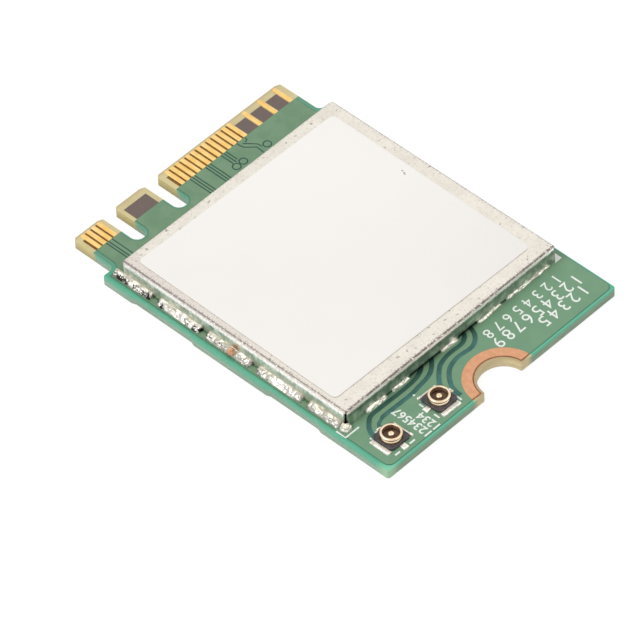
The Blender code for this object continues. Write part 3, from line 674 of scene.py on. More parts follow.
class Surface(Nodes):
    """The node tree of a new material. Its coordinates are the card's, in millimetres."""

    def __init__(self, name):
        self.material = bpy.data.materials.new(name)
        self.material.use_nodes = True
        super().__init__(self.material.node_tree)
        self.shader = self.tree.nodes["Principled BSDF"]
        self.coordinates = self.value("ShaderNodeTexCoord", "Object")
        split = self.node("ShaderNodeSeparateXYZ", {"Vector": self.squeezed((1, 1, 1))})
        self.x, self.y, self.z = (Value(self, socket) for socket in split.outputs)
        self.base = None

    def squeezed(self, scale):
        """Coordinates in millimetres, squeezed along an axis where scale is above 1."""
        inputs = {"Vector": self.coordinates, "Scale": [s / MM for s in scale]}
        return self.value("ShaderNodeMapping", "Vector", inputs)

    def noise(self, scale, detail=3.0, roughness=0.55, squeeze=(1, 1, 1), distortion=0.0):
        inputs = {
            "Vector": self.squeezed(squeeze), "Scale": scale, "Detail": detail,
            "Roughness": roughness, "Distortion": distortion,
        }
        return self.value("ShaderNodeTexNoise", "Fac", inputs)

    def weave(self, density):
        """Crossed waves from -1 to 1, as in woven cloth."""
        return self.math("SINE", self.x * density) * self.math("SINE", self.y * density)

    def distance(self, x, y):
        """Distance from a point, seen from above."""
        across = self.x - x
        along = self.y - y
        return self.math("SQRT", across * across + along * along)

    def bump(self, height, depth, strength):
        """Small relief. Depth is in millimetres."""
        inputs = {"Height": height, "Distance": depth * MM, "Strength": strength}
        self.put(self.shader.inputs["Normal"], self.value("ShaderNodeBump", "Normal", inputs))

    def paint(self, share, coat):
        """Lays a coat over the base colour, thick where share is 1 and absent where it is 0."""
        self.base = self.mix(share, self.base, coat)

    def finish(self, roughness, metallic=0.0):
        self.put(self.shader.inputs["Base Color"], self.base)
        self.put(self.shader.inputs["Roughness"], roughness)
        self.put(self.shader.inputs["Metallic"], metallic)
        return self.material


# Places that several materials share

def shade_under_can(n):
    """0.85 on the board's upper face under the can, where shade is painted, else 0."""
    half_x = (CAN_HIGH.x - CAN_LOW.x) / 2
    half_y = (CAN_HIGH.y - CAN_LOW.y) / 2
    within_x = abs(n.x - CAN_X).ramp(half_x - 0.6, half_x - 0.2, 1.0, 0.0)
    within_y = abs(n.y - CAN_Y).ramp(half_y - 0.06, half_y + 0.04, 1.0, 0.0)
    return n.z.ramp(0.3, 0.5) * within_x * within_y * 0.85


def corner_glow(n):
    """0.85 at the card's front left corner, where light coming through the laminate is painted as a
    paler colour, fading to 0.
    """
    return n.distance(-HALF_WIDTH, FRONT_Y).ramp(0.2, 1.3, 0.85, 0.0)


def bevel_shade(n):
    """0.45 along the bevelled edge of the contacts, where shade is painted in brown, else 0."""
    return n.y.ramp(EDGE_Y - 0.42, EDGE_Y - 0.2, 0.0, 0.45)


def from_jack(n):
    """Distance from the axis of the nearer antenna jack."""
    return n.math("MINIMUM", *(n.distance(x, y) for x, y, _ in JACKS))


# Materials

def mask_material(name, light, dark):
    """Solder mask: a faintly mottled, satin lacquer, lighter in front of the can."""
    n = Surface(name)
    fine = n.noise(9.0, 2.0)
    n.base = n.mix(n.noise(0.9, 5.0, 0.6).ramp(0.35, 0.65), dark, light)
    n.paint(n.y.ramp(CAN_LOW.y - 0.5, CAN_LOW.y, 0.5, 0.0), (113, 157, 125))
    # Painted shade on the mask under the can
    n.paint(shade_under_can(n), (20, 40, 34))
    n.bump(fine, 0.003, 0.5)
    return n.finish(fine.ramp(0.3, 0.7, 0.32, 0.44))


def mask_gap_material():
    """Mask sunk between coppers: dark with painted shade in the narrow gaps beside the contacts, teal
    along the antenna lines, darkening to painted shadow near the can.
    """
    n = Surface("mask_in_gap")
    cloudy = n.noise(1.2, 4.0, 0.6).ramp(0.35, 0.65)
    dark = n.mix(cloudy, (18, 66, 54), (28, 80, 66))
    teal = n.mix(cloudy, (40, 92, 84), (58, 112, 104))
    # Painted shadow on the antenna line gaps near the can's front wall
    can_shadow = n.y.ramp(CAN_LOW.y - 1.4, CAN_LOW.y - 0.2)
    in_front = n.y.ramp(CAN_LOW.y, CAN_LOW.y + 0.5, 1.0, 0.0)
    n.base = n.mix(in_front * (1.0 - can_shadow), dark, teal)
    # Painted shade in the gaps under the can
    n.paint(shade_under_can(n), (14, 30, 30))
    return n.finish(0.38)


def mask_edge_material():
    """Mask on bare laminate: brighter toward the card's outline, where light comes through."""
    n = Surface("mask_on_laminate")
    depth = n.math("MINIMUM", HALF_WIDTH - abs(n.x), n.y - FRONT_Y)
    n.base = n.mix(depth.ramp(0.0, PLANE_INSET, 1.0, 0.0), (70, 160, 126), (98, 178, 148))
    n.paint(n.noise(0.7).ramp(0.4, 0.7, 0.0, 0.3), (104, 184, 154))
    n.paint(n.y.ramp(SHOULDER_Y - 0.2, SHOULDER_Y + 0.4), (92, 148, 122))
    # Painted light at the front left corner
    n.paint(corner_glow(n), (130, 208, 170))
    return n.finish(0.36)


def laminate_material():
    """Bare glass laminate, with the weave of its cloth showing faintly."""
    n = Surface("bare_laminate")
    weave = n.weave(13.0)
    at_notch = n.distance(0.0, FRONT_Y).ramp(2.1, 2.9, 0.8, 0.0)
    n.base = n.mix(n.noise(0.9, 4.0).ramp(0.3, 0.7), (202, 186, 132), (212, 198, 148))
    n.paint(weave.ramp(-1.0, 1.0, 0.0, 0.25), (214, 202, 160))
    n.paint(at_notch, (176, 150, 116))
    # Painted shade on the bevel at the contact edge
    n.paint(bevel_shade(n), (186, 160, 132))
    n.bump(weave, 0.004, 0.3)
    return n.finish(0.4)


def masked_side(n, layers):
    """The routed edge below the mask: green, and more olive on the front."""
    green = n.mix(layers, (136, 160, 140), (158, 178, 158))
    green = n.mix(n.z.ramp(0.3, FACE_Z - 0.1), green, (96, 176, 146))
    olive = n.mix(layers, (116, 144, 116), (144, 162, 136))
    olive = n.mix(n.z.ramp(FACE_Z - 0.32, FACE_Z - 0.12), olive, (98, 178, 146))
    green = n.mix(n.y.ramp(FRONT_Y, FRONT_Y + 0.1, 1.0, 0.0), green, olive)
    # Painted light at the front left corner
    return n.mix(corner_glow(n), green, (168, 206, 168))


def bare_side(n, layers):
    """The bare routed edge: tan in the notch, yellower at the contacts."""
    tan = n.mix(layers, (200, 181, 141), (221, 206, 163))
    tan = n.mix(n.z.ramp(0.5, FACE_Z, 0.0, 0.6), tan, (202, 184, 122))
    yellow = n.mix(n.z.ramp(0.1, 0.7), (166, 152, 92), (200, 188, 124))
    tan = n.mix(n.y.ramp(SHOULDER_Y - 1.0, SHOULDER_Y + 1.0, 0.0, 0.8), tan, yellow)
    # Painted shade on the bevel at the contact edge
    return n.mix(bevel_shade(n), tan, (186, 160, 132))


def laminate_side_material():
    """The routed edge: green under the mask, bare at the contacts and in the notch."""
    n = Surface("laminate_side")
    layers = n.noise(1.0, 3.0, 0.6, (0.35, 0.35, 7.0)).ramp(0.35, 0.65)
    fibres = n.noise(4.0, 3.0, 0.6, (0.5, 0.5, 2.5))
    at_notch = n.distance(0.0, FRONT_Y).ramp(2.3, 2.9, 1.0, 0.0)
    bare = n.larger(at_notch, n.y.ramp(MASK_EDGE_Y - 0.4, MASK_EDGE_Y + 0.1))
    n.base = n.mix(bare, masked_side(n, layers), bare_side(n, layers))
    n.paint(fibres.ramp(0.5, 0.8, 0.0, 0.35), (214, 190, 176))
    n.bump(fibres, 0.012, 0.5)
    return n.finish(0.55)


def patch_material():
    """Inner copper seen through the laminate's cloth."""
    n = Surface("inner_copper")
    n.base = n.mix(n.weave(42.0).ramp(-1.0, 1.0), (92, 78, 70), (112, 98, 92))
    n.paint(n.noise(2.0).ramp(0.4, 0.7, 0.0, 0.35), (118, 92, 92))
    return n.finish(0.45)


def gold_material():
    """Gold plate with fine scratches along Y from plugging in."""
    n = Surface("gold_contact")
    scratches = n.noise(9.0, 2.0, 0.5, (1.0, 0.08, 1.0))
    n.base = n.mix(n.noise(1.8, 4.0, 0.6).ramp(0.35, 0.65), (248, 200, 112), (253, 214, 134))
    n.paint(scratches.ramp(0.45, 0.75, 0.0, 0.5), (255, 234, 182))
    n.bump(scratches, 0.003, 0.4)
    return n.finish(scratches.ramp(0.3, 0.7, 0.26, 0.4), 0.85)


def land_material():
    n = Surface("screw_land_copper")
    cloudy = n.noise(2.4, 5.0, 0.6)
    n.base = n.mix(cloudy.ramp(0.3, 0.7), (213, 154, 115), (226, 169, 129))
    n.bump(n.noise(8.0), 0.005, 0.4)
    return n.finish(cloudy.ramp(0.3, 0.7, 0.42, 0.56), 0.45)


def tin_material():
    """Plated sheet: speckled on top, with a white, ragged painted highlight along the folds and a
    painted dark reflection in each top bend, greener on the walls.
    """
    n = Surface("tinned_sheet")
    grains = n.noise(5.0, 3.0, 0.65)
    paint_tin_top(n, grains)
    ragged = (n.noise(4.5, 3.0, 0.7) - 0.5) * RIM_RAGGED
    depth = CAN_HIGH.z - n.z + ragged
    rim_highlight = n.mix(grains.ramp(0.5, 0.62), (252, 250, 246), (220, 216, 208))
    # Painted highlight along the folds
    n.paint(depth.ramp(RIM_START, RIM_START + 0.05), rim_highlight)
    front_rise = n.y.ramp(CAN_LOW.y + 0.1, CAN_LOW.y + 0.2, FRONT_RIM_RISE, 0.0)
    wall = (depth + front_rise).ramp(RIM_END, RIM_END + 0.06)
    n.paint(wall, tin_walls(n))
    fold_reflection = fold_lines(n) * n.noise(5.5, 4.0, 0.75).ramp(0.32, 0.5)
    # Painted dark reflection in the bend of each top fold
    n.paint(fold_reflection * 0.92, (74, 64, 62))
    n.bump(n.noise(1.7, 3.0, 0.6) * (wall * 3.0 + 0.6), 0.02, 0.6)
    return n.finish(grains.ramp(0.3, 0.75, 0.3, 0.4) + wall * 0.06, 1.0)


def paint_tin_top(n, grains):
    """The can's top: pinker on the left, a painted reflection, and dotted there, with dark specks all
    over.
    """
    n.base = n.mix(n.noise(0.8, 4.0, 0.6).ramp(0.3, 0.7), (230, 224, 213), (240, 234, 223))
    left = n.x.ramp(CAN_LOW.x + 0.8, CAN_LOW.x + 1.5, 1.0, 0.0)
    left = left * n.y.ramp(CAN_LOW.y, CAN_HIGH.y - 2.0, 0.1, 0.9)
    # Painted reflection: the left of the top a little darker and pinker
    n.paint(left, (229, 221, 213))
    n.paint(left * n.noise(10.0, 2.0, 0.6).ramp(0.52, 0.62, 0.0, 0.45), (188, 178, 172))
    n.paint(grains.ramp(0.5, 0.66, 0.0, 0.5), (206, 198, 190))
    n.paint(n.noise(3.1, 1.0, 0.5).ramp(0.68, 0.74, 0.0, 0.65), (140, 134, 128))


def tin_walls(n):
    """The can's walls: smeared, darker high up in front, and cream low on the left, a painted
    reflection of the solder runs.
    """
    smears = n.noise(1.6, 4.0, 0.7, (1.0, 1.0, 0.6)).ramp(0.4, 0.62)
    walls = n.mix(smears, (166, 178, 164), (226, 231, 220))
    front = n.y.ramp(CAN_LOW.y + 0.02, CAN_LOW.y + 0.06, 1.0, 0.0)
    walls = n.mix(front * n.z.ramp(1.42, 1.68, 0.0, 0.55), walls, (122, 132, 118))
    # Painted reflection of the solder runs, cream low on the left wall
    left = n.x.ramp(CAN_LOW.x + 0.02, CAN_LOW.x + 0.06, 1.0, 0.0)
    return n.mix(left * n.z.ramp(1.1, 1.75, 1.0, 0.0), walls, (226, 222, 206))


def fold_lines(n):
    """Up to 1 on the dark line along each top fold of the can, a painted reflection, and on the ticks
    across it, else 0.
    """
    total = 0.0
    for across, edge, outward, along, inset, strength in (
        (n.x, CAN_LOW.x, -1, n.y, 0.13, 0.85), (n.x, CAN_HIGH.x, 1, n.y, 0.08, 0.7),
        (n.y, CAN_LOW.y, -1, n.x, 0.12, 1.0), (n.y, CAN_HIGH.y, 1, n.x, 0.06, 0.5),
    ):
        inward = (edge - across) * outward - inset
        line = abs(inward).ramp(0.03, FOLD_LINE_WIDTH, 1.0, 0.0)
        drift = n.noise(1.3, 3.0, 0.6) * TICK_DRIFT
        ticks = n.math("SINE", along * (2 * math.pi / TICK_PITCH) + drift)
        ticks = ticks.ramp(0.3, 0.8) * inward.ramp(0.04, TICK_REACH, 0.75, 0.0)
        ticks = ticks * inward.ramp(-0.1, -0.04)
        total = n.larger(total, n.larger(line, ticks) * strength)
    return total * n.z.ramp(CAN_HIGH.z - 0.16, CAN_HIGH.z - 0.08)


def label_material():
    """White film, painted with light that makes it a little brighter toward the back right, with three
    specks of dirt.
    """
    n = Surface("label_film")
    fine = n.noise(12.0, 2.0)
    n.base = n.mix(n.noise(0.4).ramp(0.3, 0.7), (241, 238, 233), (242, 239, 234))
    # Painted light: a little brighter toward the back right
    n.paint((n.x + n.y).ramp(-6.0, 16.0), (248, 245, 240))
    for x, y in LABEL_SPECKS:
        n.paint(n.distance(x, y).ramp(0.04, 0.08, 0.8, 0.0), (96, 92, 88))
    n.bump(fine, 0.002, 0.4)
    return n.finish(fine.ramp(0.3, 0.7, 0.42, 0.55))


def solder_material(name, light, dark, flux_colour, dark_reflection_share, gaps=()):
    """Bright solder with clusters of dark squiggles and flux above, toward the can's wall.

    The squiggles are painted reflections of dark surroundings. Beside the gaps between runs it is
    blotted with more of them, and every second run is duller.
    """
    n = Surface(name)
    lumps = n.noise(2.4, 4.0, 0.6, distortion=0.4)
    lines = n.noise(3.4, 2.0, 0.6, distortion=1.6)
    here = n.noise(0.9, 1.0, 0.5)
    squiggle = abs(lines - 0.5).ramp(0.035, 0.06, 1.0, 0.0)
    n.base = n.mix(lumps.ramp(0.36, 0.6), dark, light)
    if gaps:
        every_second = n.math("COSINE", n.y * (2 * math.pi / BEAD_PAIR))
        n.paint(every_second.ramp(0.0, 0.7, 0.1, 0.5), (140, 136, 124))
        at_end = at_gaps(n, gaps)
        here = here + at_end
        blot = n.noise(2.9, 2.0, 0.6).ramp(0.5, 0.54) * at_end.ramp(0.0, 0.2)
        squiggle = n.larger(squiggle, blot)
    above = n.z.ramp(FACE_Z + 0.22, FACE_Z + 0.36)
    flux = n.noise(2.6, 4.0, 0.7).ramp(0.36, 0.56, 0.35, 1.0)
    n.paint(above * flux, flux_colour)
    here = here.ramp(1.0 - dark_reflection_share - 0.06, 1.0 - dark_reflection_share + 0.06) * n.y.ramp(-7.0, 0.0, 0.3, 1.0)
    spots = squiggle * (here * above.ramp(0.2, 0.9, 1.0, 0.0))
    # Painted reflections of dark surroundings as dark squiggles and blots
    n.paint(spots, (34, 30, 28))
    n.bump(lumps, 0.06, 0.7)
    return n.finish(lumps.ramp(0.4, 0.65, 0.24, 0.4), 0.6)


def at_gaps(n, gaps):
    """0.3 within 0.65 mm of a gap along Y, fading to 0."""
    most = 0.0
    for gap in gaps:
        most = n.larger(most, abs(n.y - gap).ramp(0.65, 1.15, 0.3, 0.0))
    return most


def plain_material(name, light, dark, roughness, metallic=0.0, scale=3.0, depth=0.006, bore=None):
    """A mildly varied surface of a moulded, fired or printed part, maybe with a coloured bore."""
    n = Surface(name)
    fine = n.noise(scale * 6, 2.0)
    n.base = n.mix(n.noise(scale, 4.0, 0.6).ramp(0.3, 0.7), dark, light)
    if bore:
        n.paint(from_jack(n).ramp(JACK_BORE, JACK_BORE + 0.05, 1.0, 0.0), bore)
    n.bump(fine, depth, 0.5)
    return n.finish(fine.ramp(0.3, 0.7, roughness - 0.06, roughness + 0.06), metallic)


def jack_gold_material():
    """Pale gold outside, and in the bore a brown painted shade that deepens with depth."""
    n = Surface("jack_gold")
    n.base = n.mix(n.noise(2.2, 4.0, 0.6).ramp(0.3, 0.7), (238, 208, 168), (252, 234, 208))
    depth = n.z.ramp(FACE_Z + 0.1, FACE_Z + 0.55, 1.0, 0.0)
    reach = from_jack(n)
    bore = reach.ramp(JACK_BORE + 0.004, JACK_BORE + 0.03, 1.0, 0.0)
    bore = bore * reach.ramp(PIN_RADIUS + 0.03, PIN_RADIUS + 0.1)
    # Painted shade in the bore, stronger further down
    n.paint(bore * depth.ramp(0.0, 1.0, 0.4, 0.88), (92, 66, 48))
    n.bump(n.noise(12.0, 2.0), 0.003, 0.4)
    return n.finish(0.26, 0.9)


PLAIN_LOOKS = {
    # Painted shade along the copper plane's edge
    "mask_step": ("mask_step_painted_shade", (60, 122, 98), (50, 108, 86), 0.4),
    # Painted shade and reflection of the gold between the contacts
    "gap": ("contact_gap", (136, 94, 26), (104, 68, 14), 0.85),
    "land_rim": ("land_rim", (150, 100, 56), (112, 70, 36), 0.5),
    "label_edge": ("label_edge", (206, 200, 190), (188, 182, 172), 0.6),
    "flux": ("flux", (236, 188, 148), (190, 126, 86), 0.2, 0.0, 4.0, 0.04),
    "foot_tin": ("foot_tin", (244, 236, 224), (216, 202, 184), 0.3, 0.7),
    "housing": (
        "jack_housing", (82, 75, 77), (50, 45, 47), 0.42, 0.0, 3.0, 0.006, (98, 72, 54)
    ),
    "silk": ("white_ink", (240, 244, 238), (228, 234, 226), 0.55),
    "resin": ("black_resin", (44, 44, 46), (32, 32, 34), 0.55),
    "ferrite": ("ferrite", (78, 78, 82), (60, 60, 64), 0.6),
    "ceramic": ("fired_ceramic", (226, 220, 206), (206, 200, 186), 0.45),
    "clay": ("capacitor_clay", (176, 138, 100), (150, 114, 80), 0.5),
}
SOLDER_LOOKS = {
    "solder": ((241, 239, 233), (208, 201, 195), (186, 182, 166), 0.5,
               (CAN_LOW.y, *SIDE_GAPS, CAN_HIGH.y)),
    "front_solder": ((254, 251, 240), (196, 188, 174), (236, 224, 186), 0.5),
    "pad_solder": ((246, 242, 232), (208, 204, 194), (232, 226, 206), 0.34),
}


def make_looks():
    made = {
        "mask": mask_material("mask_on_copper", (112, 145, 113), (102, 137, 105)),
        "mask_line": mask_material("mask_on_antenna_line", (124, 146, 108), (112, 136, 102)),
        "mask_edge": mask_edge_material(),
        "mask_gap": mask_gap_material(),
        "laminate": laminate_material(),
        "side": laminate_side_material(),
        "patch": patch_material(),
        "gold": gold_material(),
        "land": land_material(),
        "tin": tin_material(),
        "label": label_material(),
        "jack_gold": jack_gold_material(),
    }
    for key, values in PLAIN_LOOKS.items():
        made[key] = plain_material(*values)
    for key, values in SOLDER_LOOKS.items():
        made[key] = solder_material(key, *values)
    return made


looks = {}


# Board

def edge_wedge(face_z, away):
    """The prism that cuts the contact edge's bevel on one side of the board."""
    inner_y = EDGE_Y - BEVEL_LENGTH - CUT_PAST
    outer_y = EDGE_Y + CUT_PAST
    top = 2 * CUT_PAST
    rise = CUT_PAST * BEVEL_DROP / BEVEL_LENGTH
    section = ((inner_y, rise), (outer_y, -BEVEL_DROP - rise), (outer_y, top), (inner_y, top))
    sides = (-HALF_WIDTH, HALF_WIDTH)
    return loft([[(x, y, face_z + away * z) for y, z in section] for x in sides])


def build_laminate():
    shape = prism([board_outline()], UNDER_Z, FACE_Z)
    laminate = piece("laminate", shape, ("laminate", "side"), "circuit_board")
    cut(laminate, joined(edge_wedge(FACE_Z, 1), edge_wedge(UNDER_Z, -1)))
    bevel(laminate, 0.03, 3, smooth_angle=35.0)
    for face in laminate.data.polygons:
        face.material_index = 0 if abs(face.normal.z) > 0.92 else 1


def layer(name, outlines, low, high, key, side="top"):
    """A flat piece on one face of the board. Its heights are above the bare laminate."""
    shape = prism(outlines, FACE_Z + low, FACE_Z + high)
    return piece(name, on_side(side, shape), [key])


def build_contact_gaps():
    """Inner copper in the wide patches, and dark strips between the contacts, painted shade and
    reflection of the gold.
    """
    low = MASK_EDGE_Y - 0.1
    patches = [rectangle(a, b, low, PATCH_END_Y) for a, b in TOP_PATCHES]
    layer("inner_copper_top", patches, -LAYER_SINK, 0.002, "patch")
    strips = [rectangle(a, b, low, PATCH_END_Y) for a, b in LEFT_STRIPS]
    half = CONTACT_WIDTH / 2
    for left, right in zip(TOP_CONTACTS, TOP_CONTACTS[1:]):
        if right - left == 2:
            strips.append(rectangle(contact_x(left) + half, contact_x(right) - half, low, GAP_END_Y))
    layer("contact_gaps_top", strips, -LAYER_SINK, 0.002, "gap")


def build_mask():
    """Mask layers and the rim of the land on both faces, each a little higher than the last."""
    dark_insets = [inset - DARK_EDGE for inset in PLANE_INSETS]
    layers = (
        ("mask_rim", layer_outline([MASK_INSET] * 4, scars=SCARS), 0.006, "mask_edge"),
        # A thin band of painted shade round the copper plane
        ("mask_step", layer_outline(dark_insets, PLANE_CORNER), 0.008, "mask_step"),
        ("mask_gaps", layer_outline(PLANE_INSETS, PLANE_CORNER), 0.01, "mask_gap"),
        ("land_rim", land_outline(LAND_RIM), 0.012, "land_rim"),
    )
    for side in ("top", "under"):
        for name, outline, high, key in layers:
            layer(f"{name}_{side}", [outline], -LAYER_SINK, high, key, side)


def build_bare_copper():
    """The gold contacts and the screw land on both faces."""
    low = -2 * LAYER_SINK
    for side, numbers in (("top", TOP_CONTACTS), ("under", UNDER_CONTACTS)):
        outlines = [contact_outline(number) for number in numbers]
        gold = layer(f"edge_contacts_{side}", outlines, low, COPPER, "gold", side)
        bevel(gold, 0.012)
        land = layer(f"screw_land_{side}", [land_outline()], low, COPPER, "land", side)
        bevel(land, 0.01, angle=60.0, smooth_angle=None)


def build_planes():
    """The masked copper planes. Gaps beside the traces and via rings are cut in the top one."""
    outline = layer_outline(PLANE_INSETS, PLANE_CORNER)
    layer("mask_copper_under", [outline], 0.004, COPPER - 0.003, "mask", "under")
    top = layer("mask_copper_top", [outline], 0.004, COPPER - 0.003, "mask")
    low = FACE_Z - 2 * LAYER_SINK
    high = FACE_Z + 2 * COPPER
    ends = (MASK_EDGE_Y + 0.05, LINE_LOW_Y)
    gaps = [ribbon([(x, y) for y in ends], LINE_WIDTH) for x in STRAIGHT_GAPS]
    gaps += [ribbon(smooth_route(points), RF_GAP_WIDTH) for points in RF_GAPS]
    cut(top, prism(gaps, low, high), overlapping=True)
    bent = [ribbon(points, LINE_WIDTH) for points in BENT_GAPS]
    cut(top, prism(bent, low, high), overlapping=True)
    inner = VIA_RADIUS - LINE_WIDTH / 2
    outer = VIA_RADIUS + LINE_WIDTH / 2
    ring = turned([(inner, low), (outer, low), (outer, high), (inner, high)], 32)
    for x, y in VIA_RINGS:
        cut(top, placed(ring, x, y, 0.0))


def build_antenna_lines():
    middles = [ribbon(middle_route(*RF_GAPS[i:i + 2]), RF_LINE_WIDTH) for i in (0, 2)]
    layer("antenna_lines", middles, 0.01, COPPER - 0.001, "mask_line")


# White print

def build_marks():
    outlines = [ribbon(points, SILK_WIDTH) for points in SILK_LINES] + [SILK_TRIANGLE]
    low = COPPER - 0.006
    layer("white_marks", outlines, low, low + SILK_HEIGHT, "silk")


def digit_shape(digit, height, place, turn, boldness):
    """One printed digit, as a thin raised shape."""
    curve = bpy.data.curves.new("digit", "FONT")
    curve.body = digit
    curve.size = height * FONT_SIZE_PER_HEIGHT
    curve.extrude = SILK_HEIGHT / 2
    curve.offset = boldness
    curve.resolution_u = 4
    holder = bpy.data.objects.new("digit", curve)
    bpy.context.scene.collection.objects.link(holder)
    drawn = bpy.data.meshes.new_from_object(holder)
    drawn.transform(Matrix.Translation(place) @ Matrix.Rotation(math.radians(turn), 4, "Z"))
    bm = bmesh.new()
    bm.from_mesh(drawn)
    bmesh.ops.remove_doubles(bm, verts=bm.verts, dist=1e-4)
    bm.verts.index_update()
    points = [tuple(vertex.co) for vertex in bm.verts]
    faces = [[vertex.index for vertex in face.verts] for face in bm.faces]
    bm.free()
    bpy.data.objects.remove(holder)
    bpy.data.meshes.remove(drawn)
    return points, faces


def build_numbers():
    z = FACE_Z + COPPER + SILK_HEIGHT / 2 - 0.005
    digits = []
    for count, x, y, turn, height, gap, boldness in NUMBERS:
        step = Matrix.Rotation(math.radians(turn), 2) @ Vector((gap, 0.0))
        for place in range(count):
            spot = Vector((x + step.x * place, y + step.y * place, z))
            digits.append(digit_shape(str(place + 1), height, spot, turn, boldness))
    piece("white_numbers", joined(*digits), ["silk"])


# Shield can and label

def can_ring(inset, z):
    outline = rounded_rectangle(*inside(*CAN_SIDES, inset), CAN_CORNER - inset, 6)
    return [(x, y, z) for x, y in outline]


def build_can():
    rings = [can_ring(0.0, CAN_LOW.z)]
    for inward, up in quarter(FOLD_STEPS, FOLD_STEPS + 1):
        rings.append(can_ring(CAN_FOLD * (1 - inward), CAN_HIGH.z - CAN_FOLD_DROP * (1 - up)))
    can = piece("shield_can_sheet", loft(rings), ["tin"], "shield_can")
    low = CAN_LOW.z - CUT_PAST
    cut(can, box(*inside(*CAN_SIDES, CAN_SHEET), low, CAN_HIGH.z - CAN_SHEET))
    cut(can, joined(*can_openings(low)))
    bevel(can, 0.02, angle=50.0)


def can_openings(low):
    """Shapes that open the corners, the gaps between the solder runs and the antenna tunnels."""
    sides = (CAN_LOW.x, CAN_HIGH.x)
    corner = CAN_SHEET + CORNER_OPENING
    corner_top = CAN_HIGH.z - CORNER_DROP
    openings = [(x, y, corner, corner, corner_top) for x in sides for y in (CAN_LOW.y, CAN_HIGH.y)]
    deep = CAN_SHEET + CUT_PAST
    half = BEAD_GAP / 2
    top = CAN_LOW.z + FOOT_NOTCH_HEIGHT
    openings += [(x, y, deep, half, top) for y in SIDE_GAPS for x in sides]
    openings += [(x, CAN_LOW.y, half, deep, top) for x in FRONT_GAPS]
    openings += [(x, CAN_HIGH.y, half, deep, top) for x in BACK_GAPS]
    boxes = [box(x - a, x + a, y - b, y + b, low, high) for x, y, a, b, high in openings]
    return boxes + [tunnel_cutter(start, end, low, deep) for start, end in TUNNELS]


def tunnel_cutter(start, end, low, deep):
    outline = rounded_rectangle(start, end, low, CAN_LOW.z + TUNNEL_HEIGHT, TUNNEL_ROUND, 6)
    return loft([[(x, y, z) for x, z in outline] for y in (CAN_LOW.y - deep, CAN_LOW.y + deep)])


def build_label():
    half_x, half_y = (size / 2 for size in LABEL_SIZE)
    turn = Matrix.Rotation(math.radians(LABEL_TURN), 2)
    straight = rounded_rectangle(-half_x, half_x, -half_y, half_y, LABEL_RADIUS, 12)
    outline = [tuple(turn @ Vector(point) + Vector(LABEL_MIDDLE)) for point in straight]
    shape = prism([outline], LABEL_LOW.z, LABEL_HIGH.z)
    label = piece("blank_label_film", shape, ("label", "label_edge"), "blank_label")
    bevel(label, 0.015)
    for face in label.data.polygons:
        face.material_index = 0 if face.normal.z > 0.9 else 1


# Solder

def build_bead(node, across, outward, key, fullness, ragged):
    """A lumpy run in place of one solder node. It leans on a wall and grows out along one axis."""
    low, high = box_mm(node)
    run = 1 - across
    start = low[run] - BEAD_OVERRUN
    length = high[run] + BEAD_OVERRUN - start
    reach = high[across] - low[across]
    height = high.z - low.z
    wall = high[across] if outward < 0 else low[across]
    count = round(length / BEAD_STEP)
    rings = []
    for i in range(count + 1):
        t = i / count
        along = start + length * t
        lump = noise.noise(Vector((along * 0.9, wall, 3.0)))
        hump = noise.noise(Vector((along * 1.5, wall, 9.0)))
        ragged_end = 0.24 + 0.2 * noise.noise(Vector((along * 3.0, wall, 5.0)))
        near_end = min(t, 1 - t) * length / ragged_end
        taper = math.sqrt(max(0.05, 1 - max(0.0, 1 - near_end) ** 2))
        out_here = reach * taper * (fullness + ragged * lump)
        up_here = height * taper * (min(1.0, fullness) + 0.25 * hump)
        ring = []
        for out, up in bead_section(along, wall, out_here, up_here):
            place = (wall + outward * out, along)
            ring.append((place[across], place[run], low.z + up))
        rings.append(ring)
    piece(f"{node}_lump", loft(rings), [key], node, 75.0)


def bead_section(along, wall, reach, height):
    """Foot, lip and lumpy slope of a run at one place, as distances out of the wall and up."""
    section = [(-BEAD_SINK, 0.0), (reach, 0.0)]
    for step in range(BEAD_SECTION_STEPS + 1):
        t = step / BEAD_SECTION_STEPS
        out = reach * (1 - t) ** 0.85
        up = height * (BEAD_LIP + (1 - BEAD_LIP) * t**1.1)
        coarse = noise.noise(Vector((along * 1.9, out * 3.0, up * 3.0 + wall)))
        fine = noise.noise(Vector((along * 5.0, out * 5.0, up * 5.0 - wall)))
        swell = (0.06 * coarse + 0.04 * fine + 0.03) * math.sin(math.pi * min(1.0, 0.04 + t))
        section.append((out + swell, up + swell))
    return section


def build_corner_drop():
    """The drop of solder at the can's front left corner."""
    low, high = box_mm("solder_corner")
    x, y, _ = (low + high) / 2
    radius = (high.x - low.x) / 2
    rings = []
    for level, (wide, up) in enumerate(quarter(DROP_LEVELS, DROP_LEVELS)):
        ring = []
        for px, py in circle(1.0, 48):
            place = Vector((px, py, math.pi * level / DROP_LEVELS))
            size = min(1.0, 0.93 + 0.16 * noise.noise(place * 1.4))
            out = radius * wide * size
            ring.append((x + out * px, y + out * py, low.z + (high.z - low.z) * up * size))
        rings.append(ring)
    drop = piece("solder_corner_drop", loft(rings), ["pad_solder"], "solder_corner")
    past = CUT_PAST
    cut(drop, box(CAN_LOW.x, x + radius, CAN_LOW.y, y + radius, low.z - past, high.z + past))
    smooth(drop, 60.0)


def build_flux():
    x, y, z = FLUX_CENTRE
    rings = []
    for wide, up in quarter(FLUX_LEVELS, FLUX_LEVELS):
        ring = []
        for px, py in circle(wide, 32):
            wobble = 1 + 0.25 * noise.noise(Vector((px * 2, py * 2, 4.0)))
            out_x = FLUX_RADII[0] * px * wobble
            out_y = FLUX_RADII[1] * py * wobble
            ring.append((x + out_x, y + out_y, z + FLUX_HEIGHT * up))
        rings.append(ring)
    piece("flux_drop", loft(rings), ["flux"], smooth_angle=60.0)


